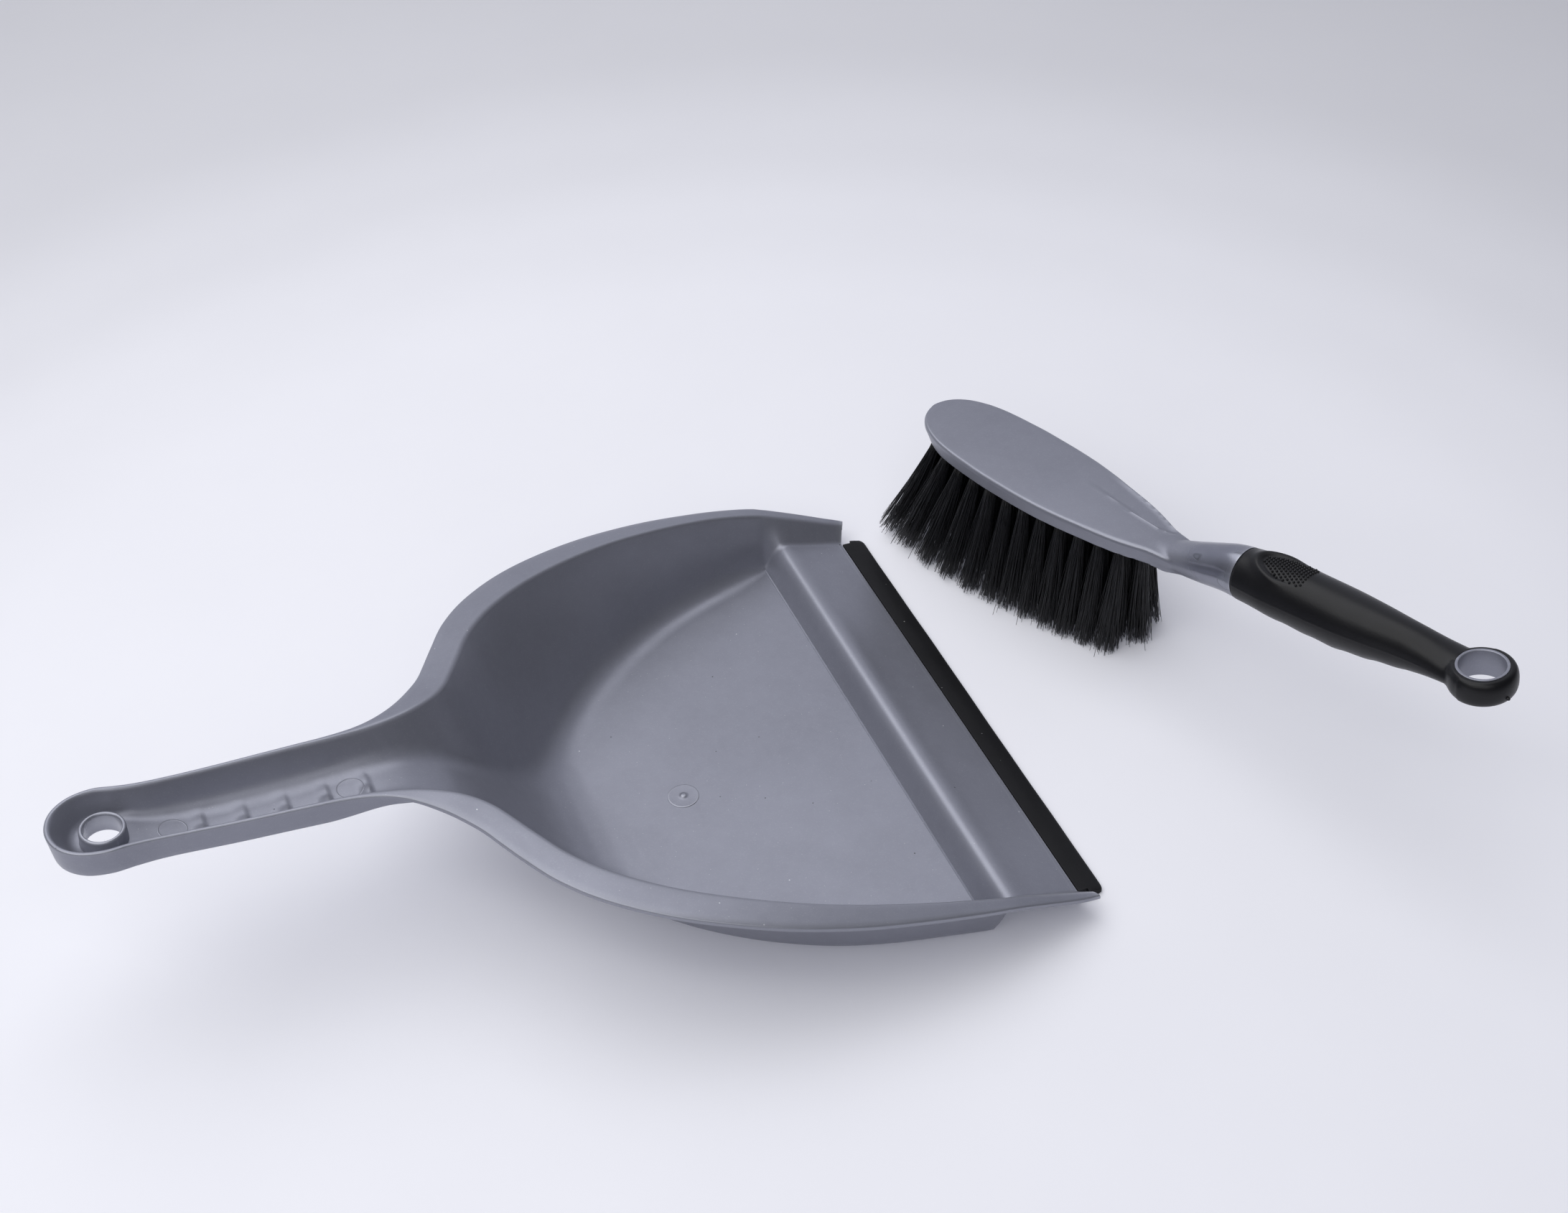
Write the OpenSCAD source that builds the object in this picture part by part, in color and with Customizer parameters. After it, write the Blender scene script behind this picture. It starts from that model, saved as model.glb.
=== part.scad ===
// Dustpan and hand brush, in millimetres.
// The origin is on the dustpan's flat base, 100 mm behind the lip edge. +X points
// forward out of the lip, +Z is up. The dustpan is symmetric about the XZ plane; the
// brush stands on its bristles beside it, on the +Y side.
// Pan shapes are drawn with x = 0 at the lip edge, and in_place() moves them.
// Brush shapes are drawn with x measured from the toe and z = 0 at the block's top.

/* [Dustpan] */
// Overall length from the lip edge to the end of the handle
pan_len = 362; // [348:1:376]
// Overall width across the flanges
pan_w = 256; // [246:1:266]
// Wall and floor thickness of the moulding
wall_t = 2.4; // [2.2:0.1:2.8]
// Height of the ramp crest above the tray floor
ramp_h = 10.3; // [8:0.1:11.5]
// Height of the finger ridges in the handle channel
ridge_h = 1.1; // [0.4:0.1:1.5]
// Number of finger ridges
ridge_n = 5; // [3:1:5]
// Distance between finger ridges
ridge_pitch = 14.6; // [13:0.2:15]
// Radius of the hang-up hole
hang_r = 6.7; // [6:0.1:7]
// Outer radius of the hang-up collar
collar_r = 8.5; // [8.2:0.1:8.8]

/* [Rubber lip] */
// Thickness of the lip blade at its free edge
lip_tip_t = 2.0; // [1.4:0.1:2.6]
// Radius of the retaining bead along the back of the lip
bead_r = 1.24; // [1.1:0.02:1.24]
// Radial clearance of the bead in its groove
bead_gap = 0.06; // [0.03:0.01:0.08]

/* [Brush] */
// Place of the brush toe in front of the lip edge
brush_x = 39.1; // [30:0.1:60]
// Place of the brush toe along the Y axis
brush_y = 121.2; // [100:0.1:140]
// Direction of the brush handle, in degrees from +X
brush_yaw = -70.2; // [-80:0.1:-55]
// Height of the top of the brush block above the floor
block_top = 60; // [54:1:66]
// Half of the greatest width of the bristle block
block_half_w = 21.2; // [20:0.1:22.5]
// Thickness of the bristle block
block_t = 8.3; // [8:0.1:9.5]
// Radius of the round neck where the grip begins
neck_r = 10.7; // [9.8:0.1:10.8]
// Radius of the handle core inside the grip
core_r = 6; // [5:0.1:7]
// Hole radius of the hanging ring's lining
ring_r = 8.5; // [8.3:0.05:8.7]

/* [Bristles] */
// Radius of a tuft hole in the block
hole_r = 2.15; // [2:0.05:2.2]
// Depth of a tuft hole
hole_d = 6; // [5:0.1:6.5]
// Radius of a tuft at its tip
tip_r = 2.9; // [2.4:0.1:3]
// Outward spread of the outer tufts at the floor
flare = 6; // [4:0.5:8]
// Forward lean of the toe tufts at the floor
toe_lean = 15; // [8:0.5:16]

/* [Hidden] */
grey = [0.50, 0.52, 0.56];
black = [0.08, 0.08, 0.09];
wire = [0.72, 0.72, 0.70];
lip_x = 100; // the lip edge, from the origin

// ---------- helpers ----------
module in_place() translate([lip_x, 0, 0]) children();
function unit(v) = v / max(norm(v), 1e-9);

// Number of the span of the table that holds x
function span(table, x, i = 0) =
    (i >= len(table) - 2 || x < table[i + 1][0]) ? i : span(table, x, i + 1);
function slope(table, i) = (table[i + 1][1] - table[i][1]) / (table[i + 1][0] - table[i][0]);
// Slope at a control point: harmonic mean, so a curve never overshoots its points
function knot_slope(table, i) = i == 0 ? slope(table, 0)
    : i == len(table) - 1 ? slope(table, i - 1)
    : let (before = slope(table, i - 1), after = slope(table, i))
        before * after <= 0 ? 0 : 2 * before * after / (before + after);
// Smooth curve y(x) through the table's [x, y] points
function curve(table, x) =
    let (i = span(table, x),
        width = table[i + 1][0] - table[i][0],
        t = max(0, min(1, (x - table[i][0]) / width)),
        start = knot_slope(table, i) * width,
        end = knot_slope(table, i + 1) * width)
    (2 * t^3 - 3 * t^2 + 1) * table[i][1] + (t^3 - 2 * t^2 + t) * start
        + (3 * t^2 - 2 * t^3) * table[i + 1][1] + (t^3 - t^2) * end;
// Smooth step from 0 to 1
function ease(from, to, x) =
    let (t = max(0, min(1, (x - from) / (to - from)))) t * t * (3 - 2 * t);

// ---------- dustpan surface ----------
// Sizes that the tables are drawn for
drawn_len = 362.2;
drawn_w = 256.2;
drawn_ramp_h = 10.3;
fixed_len = 50; // the front part, which keeps its length
ramp_back = -47.5; // where the tray floor meets the ramp
ridge_x = -249.5; // the front ridge
ridge_half_w = 2.4;
y_scale = pan_w / drawn_w;
// Stretches a table's x behind the front part to suit pan_len
function pan_x(x) = x > -fixed_len ? x
    : -fixed_len + (x + fixed_len) * (pan_len - fixed_len) / (drawn_len - fixed_len);

// [x, height of the rim]
RIM = [[-362, 81.4], [-343.5, 79.8], [-320, 77.8], [-300, 75.9], [-280, 74.1], [-260, 72.2],
    [-240, 69.7], [-230, 68.2], [-220, 66.4], [-210, 63.9], [-200, 61.3], [-190, 59.5],
    [-165, 54.9], [-135, 49], [-105, 42.4], [-75, 35.2], [-60, 31.1], [-45, 26], [-30, 19.6],
    [-15, 12.7], [-7, 8.9]];
// [x, height of the inside centre line above the tray floor]: cup, channel, fall, floor
FALL = [[-362, 70.7], [-343.5, 69.2], [-335, 67.8], [-327, 65.5], [-314, 62.5], [-300, 60.4],
    [-285, 58.9], [-270, 57.8], [-255, 57], [-245, 56.2], [-236, 54.6], [-228, 51.6],
    [-220, 46.6], [-212, 39], [-204, 30], [-196, 20.4], [-189, 12.6], [-183, 7.2],
    [-177, 3.4], [-170, 1], [-162, 0.1], [-155, 0], [-47.5, 0]];
// [x, height of the ramp behind the lip as a share of ramp_h]
RAMP = [[-47.5, 0], [-45.6, 0.3], [-43.4, 0.76], [-41, 1], [-37.5, 0.955], [-30, 0.73],
    [-20, 0.44], [-14, 0.265], [-10, 0.15]];
function floor_z(x) = wall_t + (x < ramp_back ? curve(FALL, x) : ramp_h * curve(RAMP, x));
// Height of the finger ridges, fading out to each side
function ridges(x, y) = (1 - ease(2, 9, abs(y))) * ridge_h * max([for (k = [0:ridge_n - 1])
    let (away = abs(x - ridge_x + k * ridge_pitch))
    away < ridge_half_w ? (1 + cos(180 * away / ridge_half_w)) / 2 : 0]);

// Rim stations from the handle end to the lip:
// [crease x, crease y, flange width, floor corner x, floor corner y, fillet length]
ROWS = [
    [-360.5, 0, 1.7, -355, 0, 3], [-358.2, 8.5, 1.7, -353.5, 5.7, 3],
    [-352, 14.7, 1.7, -349.2, 10, 3], [-343.5, 17, 1.7, -343.5, 11.6, 3],
    [-335.5, 15.3, 1.7, -336.3, 10.3, 3.2], [-327, 13.9, 1.7, -327, 8.9, 4],
    [-314, 14.1, 1.7, -314, 8.9, 5.5], [-300, 14.6, 1.7, -300, 9, 6],
    [-286, 15.1, 1.7, -286, 9.1, 6], [-272, 15.5, 1.8, -272, 9.3, 6],
    [-259, 15.9, 2, -258.5, 9.5, 6], [-248, 16.8, 2.7, -246, 9.8, 6.5],
    [-239, 18.4, 4.2, -235, 10.4, 7], [-230.5, 20.8, 6.6, -224.5, 11.4, 7.5],
    [-222.5, 24.3, 9, -214, 12.8, 8], [-215.5, 28.8, 11, -204.5, 15, 8],
    [-209.8, 34.5, 12, -196, 18, 8.5], [-205, 42, 12.4, -188, 22.5, 9],
    [-199.5, 51.5, 12.6, -180, 29, 9], [-191.5, 64.5, 12.7, -171, 39, 9.5],
    [-179.5, 77.5, 12.7, -160.5, 53, 10], [-162, 90.2, 12.7, -146, 69, 10],
    [-141, 100.9, 12.6, -127, 84.5, 10], [-118, 109.7, 12.2, -106, 96.8, 9.5],
    [-95, 115.6, 10.9, -86, 104.6, 9], [-73, 119.4, 8.6, -67, 109.6, 8],
    [-56, 120.9, 7, -53.5, 112.2, 5], [-47.5, 121.1, 6.3, -47.5, 112.9, 2.5],
    [-45.6, 121.1, 6.2, -45.6, 113, 2], [-43.4, 121, 6, -43.4, 113, 2],
    [-41, 121, 5.8, -41, 113, 2], [-37.5, 120.8, 5.6, -37.5, 113, 2],
    [-30, 120.5, 5.1, -30, 113, 2], [-20, 119.9, 4.5, -20, 113, 2],
    [-14, 119.5, 4, -14.5, 113, 2], [-7.6, 119.1, 3.2, -10.8, 113, 1.5]];
last_row = len(ROWS) - 1;
// Before the first row comes the mirror image of the second
function row_at(i) = i < 0 ? [for (k = [0:5]) (k == 1 || k == 4 ? -1 : 1) * ROWS[1][k]]
    : ROWS[min(i, last_row)];
// Catmull-Rom spline from row i to the next
function between(i, t) =
    let (before = row_at(i - 1), from = row_at(i), to = row_at(i + 1), after = row_at(i + 2))
    0.5 * (2 * from + (to - before) * t + (2 * before - 5 * from + 4 * to - after) * t^2
        + (3 * from - before - 3 * to + after) * t^3);
function steps(i) = i < 5 ? 3 : i < 11 ? 4 : i < 20 ? 3 : i < 26 ? 2 : 1;
STATIONS = [for (i = [0:last_row - 1]) for (k = [0:steps(i) - 1]) between(i, k / steps(i)),
    ROWS[last_row]];
last = len(STATIONS) - 1;
HALF = 12; // columns on each side of the centre line
COLUMNS = 2 * HALF + 1;

// One side of a cross-section, centre to flange edge:
// [top points, underside points at the crease and flange, floor height without ridges]
function section(row) =
    let (crease = [pan_x(row[0]), row[1] * y_scale, curve(RIM, row[0])],
        corner = [pan_x(row[3]), row[4] * y_scale, floor_z(row[3])],
        run = [crease.x - corner.x, crease.y - corner.y, 0],
        out = unit(run),
        fillet = min(row[5], norm(run) * 1.4, crease.z - corner.z),
        foot_x = row[3] - out.x * fillet,
        flat_z = floor_z(foot_x),
        foot = [pan_x(foot_x), max(0, corner.y - out.y * fillet), flat_z],
        up = unit(crease - corner),
        fillet_top = corner + up * fillet * 0.9,
        flange = row[2],
        bend = min(1.2, 0.35 * flange),
        setback = wall_t * tan(asin(up.z) / 2),
        low_crease = crease + out * setback - [0, 0, wall_t],
        low_flange = flange - setback)
    [[for (share = [0, 0.5, 1]) let (y = foot.y * share)
            [foot.x, y, flat_z + ridges(foot_x, y)],
        for (t = [0.25, 0.5, 0.75])
            (1 - t)^2 * foot + 2 * t * (1 - t) * corner + t^2 * fillet_top,
        fillet_top, (fillet_top + crease) / 2,
        crease - up * 1.3, crease - up * 0.32 + out * bend / 4, crease + out * bend,
        crease + out * (flange - min(1, 0.3 * flange)),
        crease + out * flange - [0, 0, 0.4]],
     [low_crease - up, low_crease, low_crease + out * low_flange * 0.3,
        low_crease + out * low_flange * 0.7, low_crease + out * low_flange + [0, 0, 0.3]],
     flat_z];
SECTIONS = [for (row = STATIONS) section(row)];

// Points by station i and column c, which runs from -HALF to HALF
function flip(p, c) = c < 0 ? [p.x, -p.y, p.z] : p;
function top(i, c) = flip(SECTIONS[i][0][abs(c)], c);
function normal(i, c) = i == 0 ? let (n = normal(1, max(2, abs(c)))) unit([n.x, 0, n.z])
    : let (n = cross(top(min(i + 1, last), c) - top(i - 1, c),
            top(i, min(c + 1, HALF)) - top(i, max(c - 1, -HALF))))
        unit(n.z < 0 ? -n : n);
// The underside leaves out the ridges and stays above the base plane
function under(i, c) = abs(c) > 7 ? flip(SECTIONS[i][1][abs(c) - 8], c)
    : let (above = top(i, c),
        flat = abs(c) > 2 ? above : [above.x, above.y, SECTIONS[i][2]],
        p = flat - wall_t * normal(i, c))
        [p.x, p.y, max(0, p.z)];

// Vertex numbers; the first station folds onto its own mirror image
function id(i, c) = i == 0 ? max(2, abs(c)) : i * COLUMNS + c + HALF;
function folded(c) = max(2, min(HALF, c + HALF));
// Two triangles, without those that the fold collapses
function quad(a, b, c, d) = [for (t = [[a, b, c], [a, c, d]])
    if (t[0] != t[1] && t[1] != t[2] && t[0] != t[2]) t];
module pan_shell() {
    low = (last + 1) * COLUMNS; // number of the first underside vertex
    points = [
        for (i = [0:last]) for (c = [-HALF:HALF]) top(i, i == 0 ? folded(c) : c),
        for (i = [0:last]) for (c = [-HALF:HALF]) under(i, i == 0 ? folded(c) : c)];
    faces = [
        // top
        for (i = [0:last - 1]) for (c = [-HALF:HALF - 1])
            each quad(id(i, c), id(i, c + 1), id(i + 1, c + 1), id(i + 1, c)),
        // underside
        for (i = [0:last - 1]) for (c = [-HALF:HALF - 1])
            each quad(low + id(i, c), low + id(i + 1, c),
                low + id(i + 1, c + 1), low + id(i, c + 1)),
        // flange edges
        for (i = [0:last - 1])
            each quad(id(i, -HALF), id(i + 1, -HALF), low + id(i + 1, -HALF), low + id(i, -HALF)),
        for (i = [0:last - 1])
            each quad(id(i, HALF), low + id(i, HALF), low + id(i + 1, HALF), id(i + 1, HALF)),
        // front edge
        for (c = [-HALF:HALF - 1])
            each quad(id(last, c), id(last, c + 1), low + id(last, c + 1), low + id(last, c))];
    polyhedron(points, faces, convexity = 10);
}

// ---------- nose, pan body and rubber lip ----------
nose_y = 112.9 * y_scale; // half-lengths along Y
groove_y = nose_y - 0.5;
bead_y = nose_y - 1;
lip_y = 114 * y_scale;
bead_x = -12.4;
bead_z = 2.3;
slot_t = 1.7; // slot in the nose, and the lip's tongue inside it
tongue_t = 1;
front_lift = (ramp_h - drawn_ramp_h) * 0.15; // rise of the nose and lip with the ramp
cup_x = -343.5; // table x of the cup's centre
cup_tilt = 5;
boss_x = -130; // table x of the round boss on the tray floor

module along_y(half_len)
    rotate([90, 0, 0]) translate([0, 0, -half_len]) linear_extrude(2 * half_len) children();
module rod(r, half_len) rotate([90, 0, 0]) translate([bead_x, bead_z, -half_len])
    cylinder(r = r, h = 2 * half_len, $fn = 48);
module bar(x, z, length, height, half_len)
    translate([x, -half_len, z]) cube([length, 2 * half_len, height]);

// Thickened nose under the ramp's front edge, which holds the lip's bead
module nose() difference() {
    along_y(nose_y) polygon([[-17.5, 3.4], [-17.5, 5.2 + front_lift], [-14, 4.95 + front_lift],
        [-10.6, 3.95 + front_lift], [-10.6, 0.25], [-15, 0.25]]);
    rod(bead_r + bead_gap, groove_y);
    bar(bead_x, bead_z - slot_t / 2, 4, slot_t, groove_y);
}
module in_cup()
    translate([pan_x(cup_x), 0, floor_z(cup_x)]) rotate([0, cup_tilt, 0]) children();
module floor_boss() translate([pan_x(boss_x), 0, wall_t - 1]) children();
module pan_body() {
    color(grey) in_place() difference() {
        union() {
            difference() {
                pan_shell();
                // room for the nose
                bar(-18, -1, 10, bead_z + 2.3, groove_y);
            }
            nose();
            in_cup() translate([0, 0, -wall_t])
                cylinder(r = collar_r, h = wall_t + 6, $fn = 64);
            floor_boss() cylinder(r = 6.3, h = 1.3, $fn = 64);
            floor_boss() cylinder(r = 1.1, h = 1.8, $fn = 32);
        }
        in_cup() translate([0, 0, -12]) cylinder(r = hang_r, h = 30, $fn = 64);
    }
}

module lip_strip() {
    color(black) in_place() difference() {
        union() {
            along_y(lip_y) polygon([[-10.25, 0.35], [-10.25, 3.85 + front_lift],
                [-0.9, lip_tip_t + 0.15], [-0.3, lip_tip_t - 0.15],
                [0, lip_tip_t - 0.6], [0, 0.35], [-0.3, 0]]);
            bar(bead_x, bead_z - tongue_t / 2, 3, tongue_t, bead_y);
            rod(bead_r, bead_y);
        }
        // clearance for the foot of each side wall
        for (side = [-1, 1]) translate([-13, side * lip_y - 1.5, -1]) cube([6.6, 3, 8]);
    }
}

// ---------- brush block and neck ----------
module at_brush() in_place()
    translate([brush_x, brush_y, block_top]) rotate([0, 0, brush_yaw]) children();
// The handle axis starts in the neck and rises towards the ring
rise = 0.149;
neck_x = 160;
neck_z = 5.9;
function axis_z(x) = neck_z + rise * (x - neck_x);
module on_axis() translate([neck_x, 0, neck_z]) rotate([0, -atan(rise), 0]) children();
// The underside is one level plane, so every tuft hole starts on a flat face
base_z = -block_t;
toe_undercut = 1.8; // how far the toe's lower edge lies behind its upper edge

// [distance from the toe, half-width as a share of block_half_w]
PLAN = [[0, 0.1], [0.5, 0.2], [2, 0.335], [5, 0.54], [9, 0.665], [14, 0.77], [20, 0.862],
    [28, 0.922], [38, 0.966], [50, 0.993], [62, 0.991], [75, 0.968], [88, 0.902],
    [100, 0.808], [110, 0.726], [118, 0.637], [125, 0.535], [131, 0.445], [138, 0.4],
    [150, 0.36], [184, 0.36]];
function half_w(x) = block_half_w * curve(PLAN, x);
// [distance from the toe, height of the neck's centre]
NECK_Z = [[118, -5.8], [128, -5.8], [136, -4.8], [146, -1.5], [156, 2.6], [166, 6.6], [173.7, 8.25]];
// [distance from the toe, radius as a share of neck_r]
NECK_R = [[118, 0.66], [128, 0.67], [136, 0.69], [146, 0.75], [156, 0.845], [166, 0.93], [173.7, 1]];
// Half outline of the block, from the middle of the top to the middle of the underside:
// [share of the half-width, inset, height, depth as a share of block_t, angle round the neck]
EDGE = [[0, 0, 0.45, 0, 90], [0.35, 0, 0.38, 0, 70], [0.7, 0, 0.2, 0, 50],
    [1, 1.5, 0, 0, 33], [1, 0.5, -0.12, 0, 22], [1, 0.08, -0.5, 0, 13],
    [1, 0, -1.3, 0, 5], [1, 0.35, 0, 0.23, -4], [1, 0.95, 0, 0.62, -18],
    [1, 1.5, 0, 1, -38], [0.5, 0, 0, 1, -64], [0, 0, 0, 1, -90]];
edge_last = len(EDGE) - 1;
// Point j of the closed outline at x, blended from the block into the round neck
function outline_point(x, j) =
    let (side = j <= edge_last ? 1 : -1,
        edge = EDGE[j <= edge_last ? j : 2 * edge_last - j],
        depth = edge[3],
        angle = edge[4],
        half = half_w(x),
        radius = neck_r * curve(NECK_R, x),
        blend = ease(depth == 1 ? 127 : 125, 147, x),
        squash = angle < 0 ? 0.42 + 0.58 * ease(130, 158, x) : 1,
        // the inset shrinks where the block is narrow
        block = [0, half * edge[0] - edge[1] * min(1, half / 6), edge[2] - depth * block_t],
        neck = [0, radius * cos(angle), curve(NECK_Z, x) + radius * sin(angle) * squash],
        p = block * (1 - blend) + neck * blend)
    // the outlines tip until they are square to the handle axis
    [x + toe_undercut * depth * (1 - ease(6, 30, x)) - rise * ease(146, 170, x) * (p.z - axis_z(x)),
        side * p.y, p.z];
LOFT_X = [0, 0.5, 1.3, 2.6, 4.5, 7.5, 12, 18, 26, 36, 48, 62, 76, 90, 102, 112, 120, 126,
    130, 134, 138, 142, 146, 151, 157, 163, 169, 173.7];
// Solid through a list of outlines with equal numbers of points
module loft(outlines) {
    n = len(outlines[0]);
    end = len(outlines) - 1;
    polyhedron([for (outline = outlines) each outline],
        [[for (j = [n - 1:-1:0]) j],
        for (i = [0:end - 1]) for (j = [0:n - 1])
            let (a = i * n + j, b = i * n + (j + 1) % n) each [[a, b + n, a + n], [a, b, b + n]],
        [for (j = [0:n - 1]) end * n + j]], convexity = 6);
}

// Distances along the handle axis
ring_x = 121.7; // the ring's centre
grip_x = 14; // start of the grip
grip_end = 117;
core_x = grip_x - 16; // start of the core, inside the neck
taper_x = 90; // end of the core's thick part
lining_r = ring_r + 1.2;
thin_r = core_r - 2;
sleeve_gap = 0.05;
// Handle core, slimmer towards the ring; the gap widens it to cut the grip's bore
module core(gap, end) rotate([0, 90, 0]) union() {
    translate([0, 0, core_x]) cylinder(r = core_r + gap, h = taper_x - core_x, $fn = 64);
    translate([0, 0, taper_x - 0.5])
        cylinder(r1 = core_r + gap, r2 = thin_r + gap, h = 8.5, $fn = 64);
    translate([0, 0, taper_x + 7]) cylinder(r = thin_r + gap, h = end - taper_x - 7, $fn = 64);
}

// Tuft rows run from side = 1 on the left to -1 on the right, seen from the toe
tuft_pitch = 9.47;
// Tuft places in one row: [distance from the toe, side offset]
function tuft_row(side) =
    let (first = side == 0 ? 8 : abs(side) < 1 ? 10.2 : 12.5)
    [for (k = [0:side == 0 ? 12 : 11]) let (x = first + tuft_pitch * k)
        [x, side * (half_w(x) - 5.2)]];
module brush_body() {
    color(grey) at_brush() difference() {
        union() {
            loft([for (x = LOFT_X) [for (j = [0:2 * edge_last - 1]) outline_point(x, j)]]);
            on_axis() core(0, ring_x - ring_r - 0.6);
            on_axis() translate([ring_x, 0, -5.7]) cylinder(r = lining_r, h = 11.4, $fn = 96);
        }
        on_axis() translate([ring_x, 0, -20]) cylinder(r = ring_r, h = 40, $fn = 96);
        for (side = [-1:0.5:1]) for (tuft = tuft_row(side))
            translate([tuft.x, tuft.y, base_z - 3]) cylinder(r = hole_r, h = hole_d + 3, $fn = 24);
    }
}

// ---------- grip ----------
// [distance along the handle axis, half-width], then height above and depth below the axis
GRIP_Y = [[14, 10.85], [20, 11.4], [30, 12.2], [45, 12.2], [60, 12.05], [75, 11], [91, 9.4],
    [100, 9.1], [108, 9.4], [117, 10]];
GRIP_TOP = [[14, 11.1], [20, 11.8], [30, 12.7], [38, 12.5], [45, 11.9], [60, 11.1],
    [75, 10.2], [91, 9], [103, 7.3], [110, 6.2], [117, 5.3]];
GRIP_BASE = [[14, 10.5], [20, 10.5], [30, 11], [45, 11.8], [60, 12.5], [75, 11.2], [91, 8.9],
    [103, 6.9], [110, 5.9], [117, 5]];
grip_steps = 40;
grip_sides = 28;
dot_pitch = 2.7;
// Depth of the five finger hollows under the grip
hollow_x = 25.2;
hollow_pitch = 13.9;
function hollow(x) = (x < hollow_x || x > hollow_x + 5 * hollow_pitch) ? 0
    : 0.9 * (1 - cos(360 * (x - hollow_x) / hollow_pitch)) / 2;
function grip_point(x, angle) =
    let (z = curve(sin(angle) > 0 ? GRIP_TOP : GRIP_BASE, x) * sin(angle))
    [x, curve(GRIP_Y, x) * cos(angle), z - (z < 0 ? hollow(x) * sin(angle)^2 : 0)];
module grip_shell() loft([for (k = [0:grip_steps])
    let (x = grip_x + k * (grip_end - grip_x) / grip_steps)
    [for (j = [0:grip_sides - 1]) grip_point(x, -360 * j / grip_sides)]]);
function bulge(v) = sign(v) * abs(v)^0.85;
module hanging_ring() translate([ring_x, 0, 0]) rotate_extrude($fn = 96)
    polygon([for (a = [-180:15:180])
        [10.3 + 2.7 * bulge(cos(a)), (a > 0 ? 5.5 : 5.1) * bulge(sin(a))]]);
// Staggered dots on top of the grip
module dots() for (i = [0:6]) for (j = [-2:2])
    let (x = 25 + dot_pitch * i + (j % 2 == 0 ? 0 : dot_pitch / 2), y = 2.6 * j)
    translate([x, y, curve(GRIP_TOP, x) * sqrt(1 - (y / curve(GRIP_Y, x))^2) - 1])
        cylinder(r = 0.65, h = 1.6, $fn = 16);
module grip_sleeve() {
    color(black) at_brush() on_axis() difference() {
        union() {
            grip_shell();
            hanging_ring();
            dots();
        }
        core(sleeve_gap, ring_x - ring_r + 1);
        translate([ring_x, 0, -20]) cylinder(r = lining_r + sleeve_gap, h = 40, $fn = 96);
    }
}

// ---------- tufts and anchors ----------
anchor_l = 3.9;
anchor_t = 0.5;
anchor_z = base_z + hole_d - 2.1;
tuft_gap = 0.05; // round a tuft in its hole, and round an anchor in its tuft
shank_r = hole_r - tuft_gap;
// Shift of a tuft's tip at the floor
function lean(tuft, side) = [-toe_lean * (1 - ease(4, 62, tuft.x)),
    side * (flare + 4.5 * (1 - ease(30, 72, tuft.x)) - 1.4 * ease(104, 118, tuft.x))];
// Block centred on a tuft's place
module plate(tuft, z, gap, height)
    translate([tuft.x - anchor_t / 2 - gap, tuft.y - anchor_l / 2 - gap, z])
        cube([anchor_t + 2 * gap, anchor_l + 2 * gap, height]);
// A tuft: round shank in its hole, then a widening, leaning cone down to the floor
module tufts(side) {
    color(black) at_brush() for (tuft = tuft_row(side))
        let (shift = lean(tuft, side), drop = block_top + base_z,
            length = norm([shift.x, shift.y, drop]), tilt = acos(drop / length))
        difference() {
            union() {
                translate([tuft.x, tuft.y, base_z - 0.4])
                    cylinder(r = shank_r, h = hole_d + 0.3, $fn = 24);
                translate([tuft.x, tuft.y, base_z]) rotate([0, 0, atan2(shift.y, shift.x)])
                    rotate([0, -tilt, 0]) mirror([0, 0, 1]) translate([0, 0, 0.4])
                    cylinder(r1 = shank_r - 0.15, r2 = tip_r,
                        h = length - 0.9 - tip_r * sin(tilt), $fn = 24);
            }
            plate(tuft, anchor_z - tuft_gap, tuft_gap, 3);
        }
}
module anchors(side)
    color(wire) at_brush() for (tuft = tuft_row(side)) plate(tuft, anchor_z, 0, 1.9);

module tufts_outer_left() tufts(1);
module tufts_inner_left() tufts(0.5);
module tufts_centre() tufts(0);
module tufts_inner_right() tufts(-0.5);
module tufts_outer_right() tufts(-1);
module anchors_outer_left() anchors(1);
module anchors_inner_left() anchors(0.5);
module anchors_centre() anchors(0);
module anchors_inner_right() anchors(-0.5);
module anchors_outer_right() anchors(-1);

pan_body();
lip_strip();
brush_body();
grip_sleeve();
tufts_outer_left();
tufts_inner_left();
tufts_centre();
tufts_inner_right();
tufts_outer_right();
anchors_outer_left();
anchors_inner_left();
anchors_centre();
anchors_inner_right();
anchors_outer_right();
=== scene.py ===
"""Dustpan and hand brush on a pale floor.

Shapes are modelled in millimetres and scaled to metres as each is finished. The pan lies along X,
with its soft lip at x = 0, its handle towards -X and its floor just above z = 0. The brush stands
on its bristles beyond the lip. In its own frame it runs along +X from the toe, with the top of its
block near z = 0 and its bristles downwards. ROW then moves everything 100 mm along +X.
"""

import math
from contextlib import contextmanager
from functools import cached_property, reduce

import bmesh
import bpy
import numpy as np
from mathutils import Matrix, Vector

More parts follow.
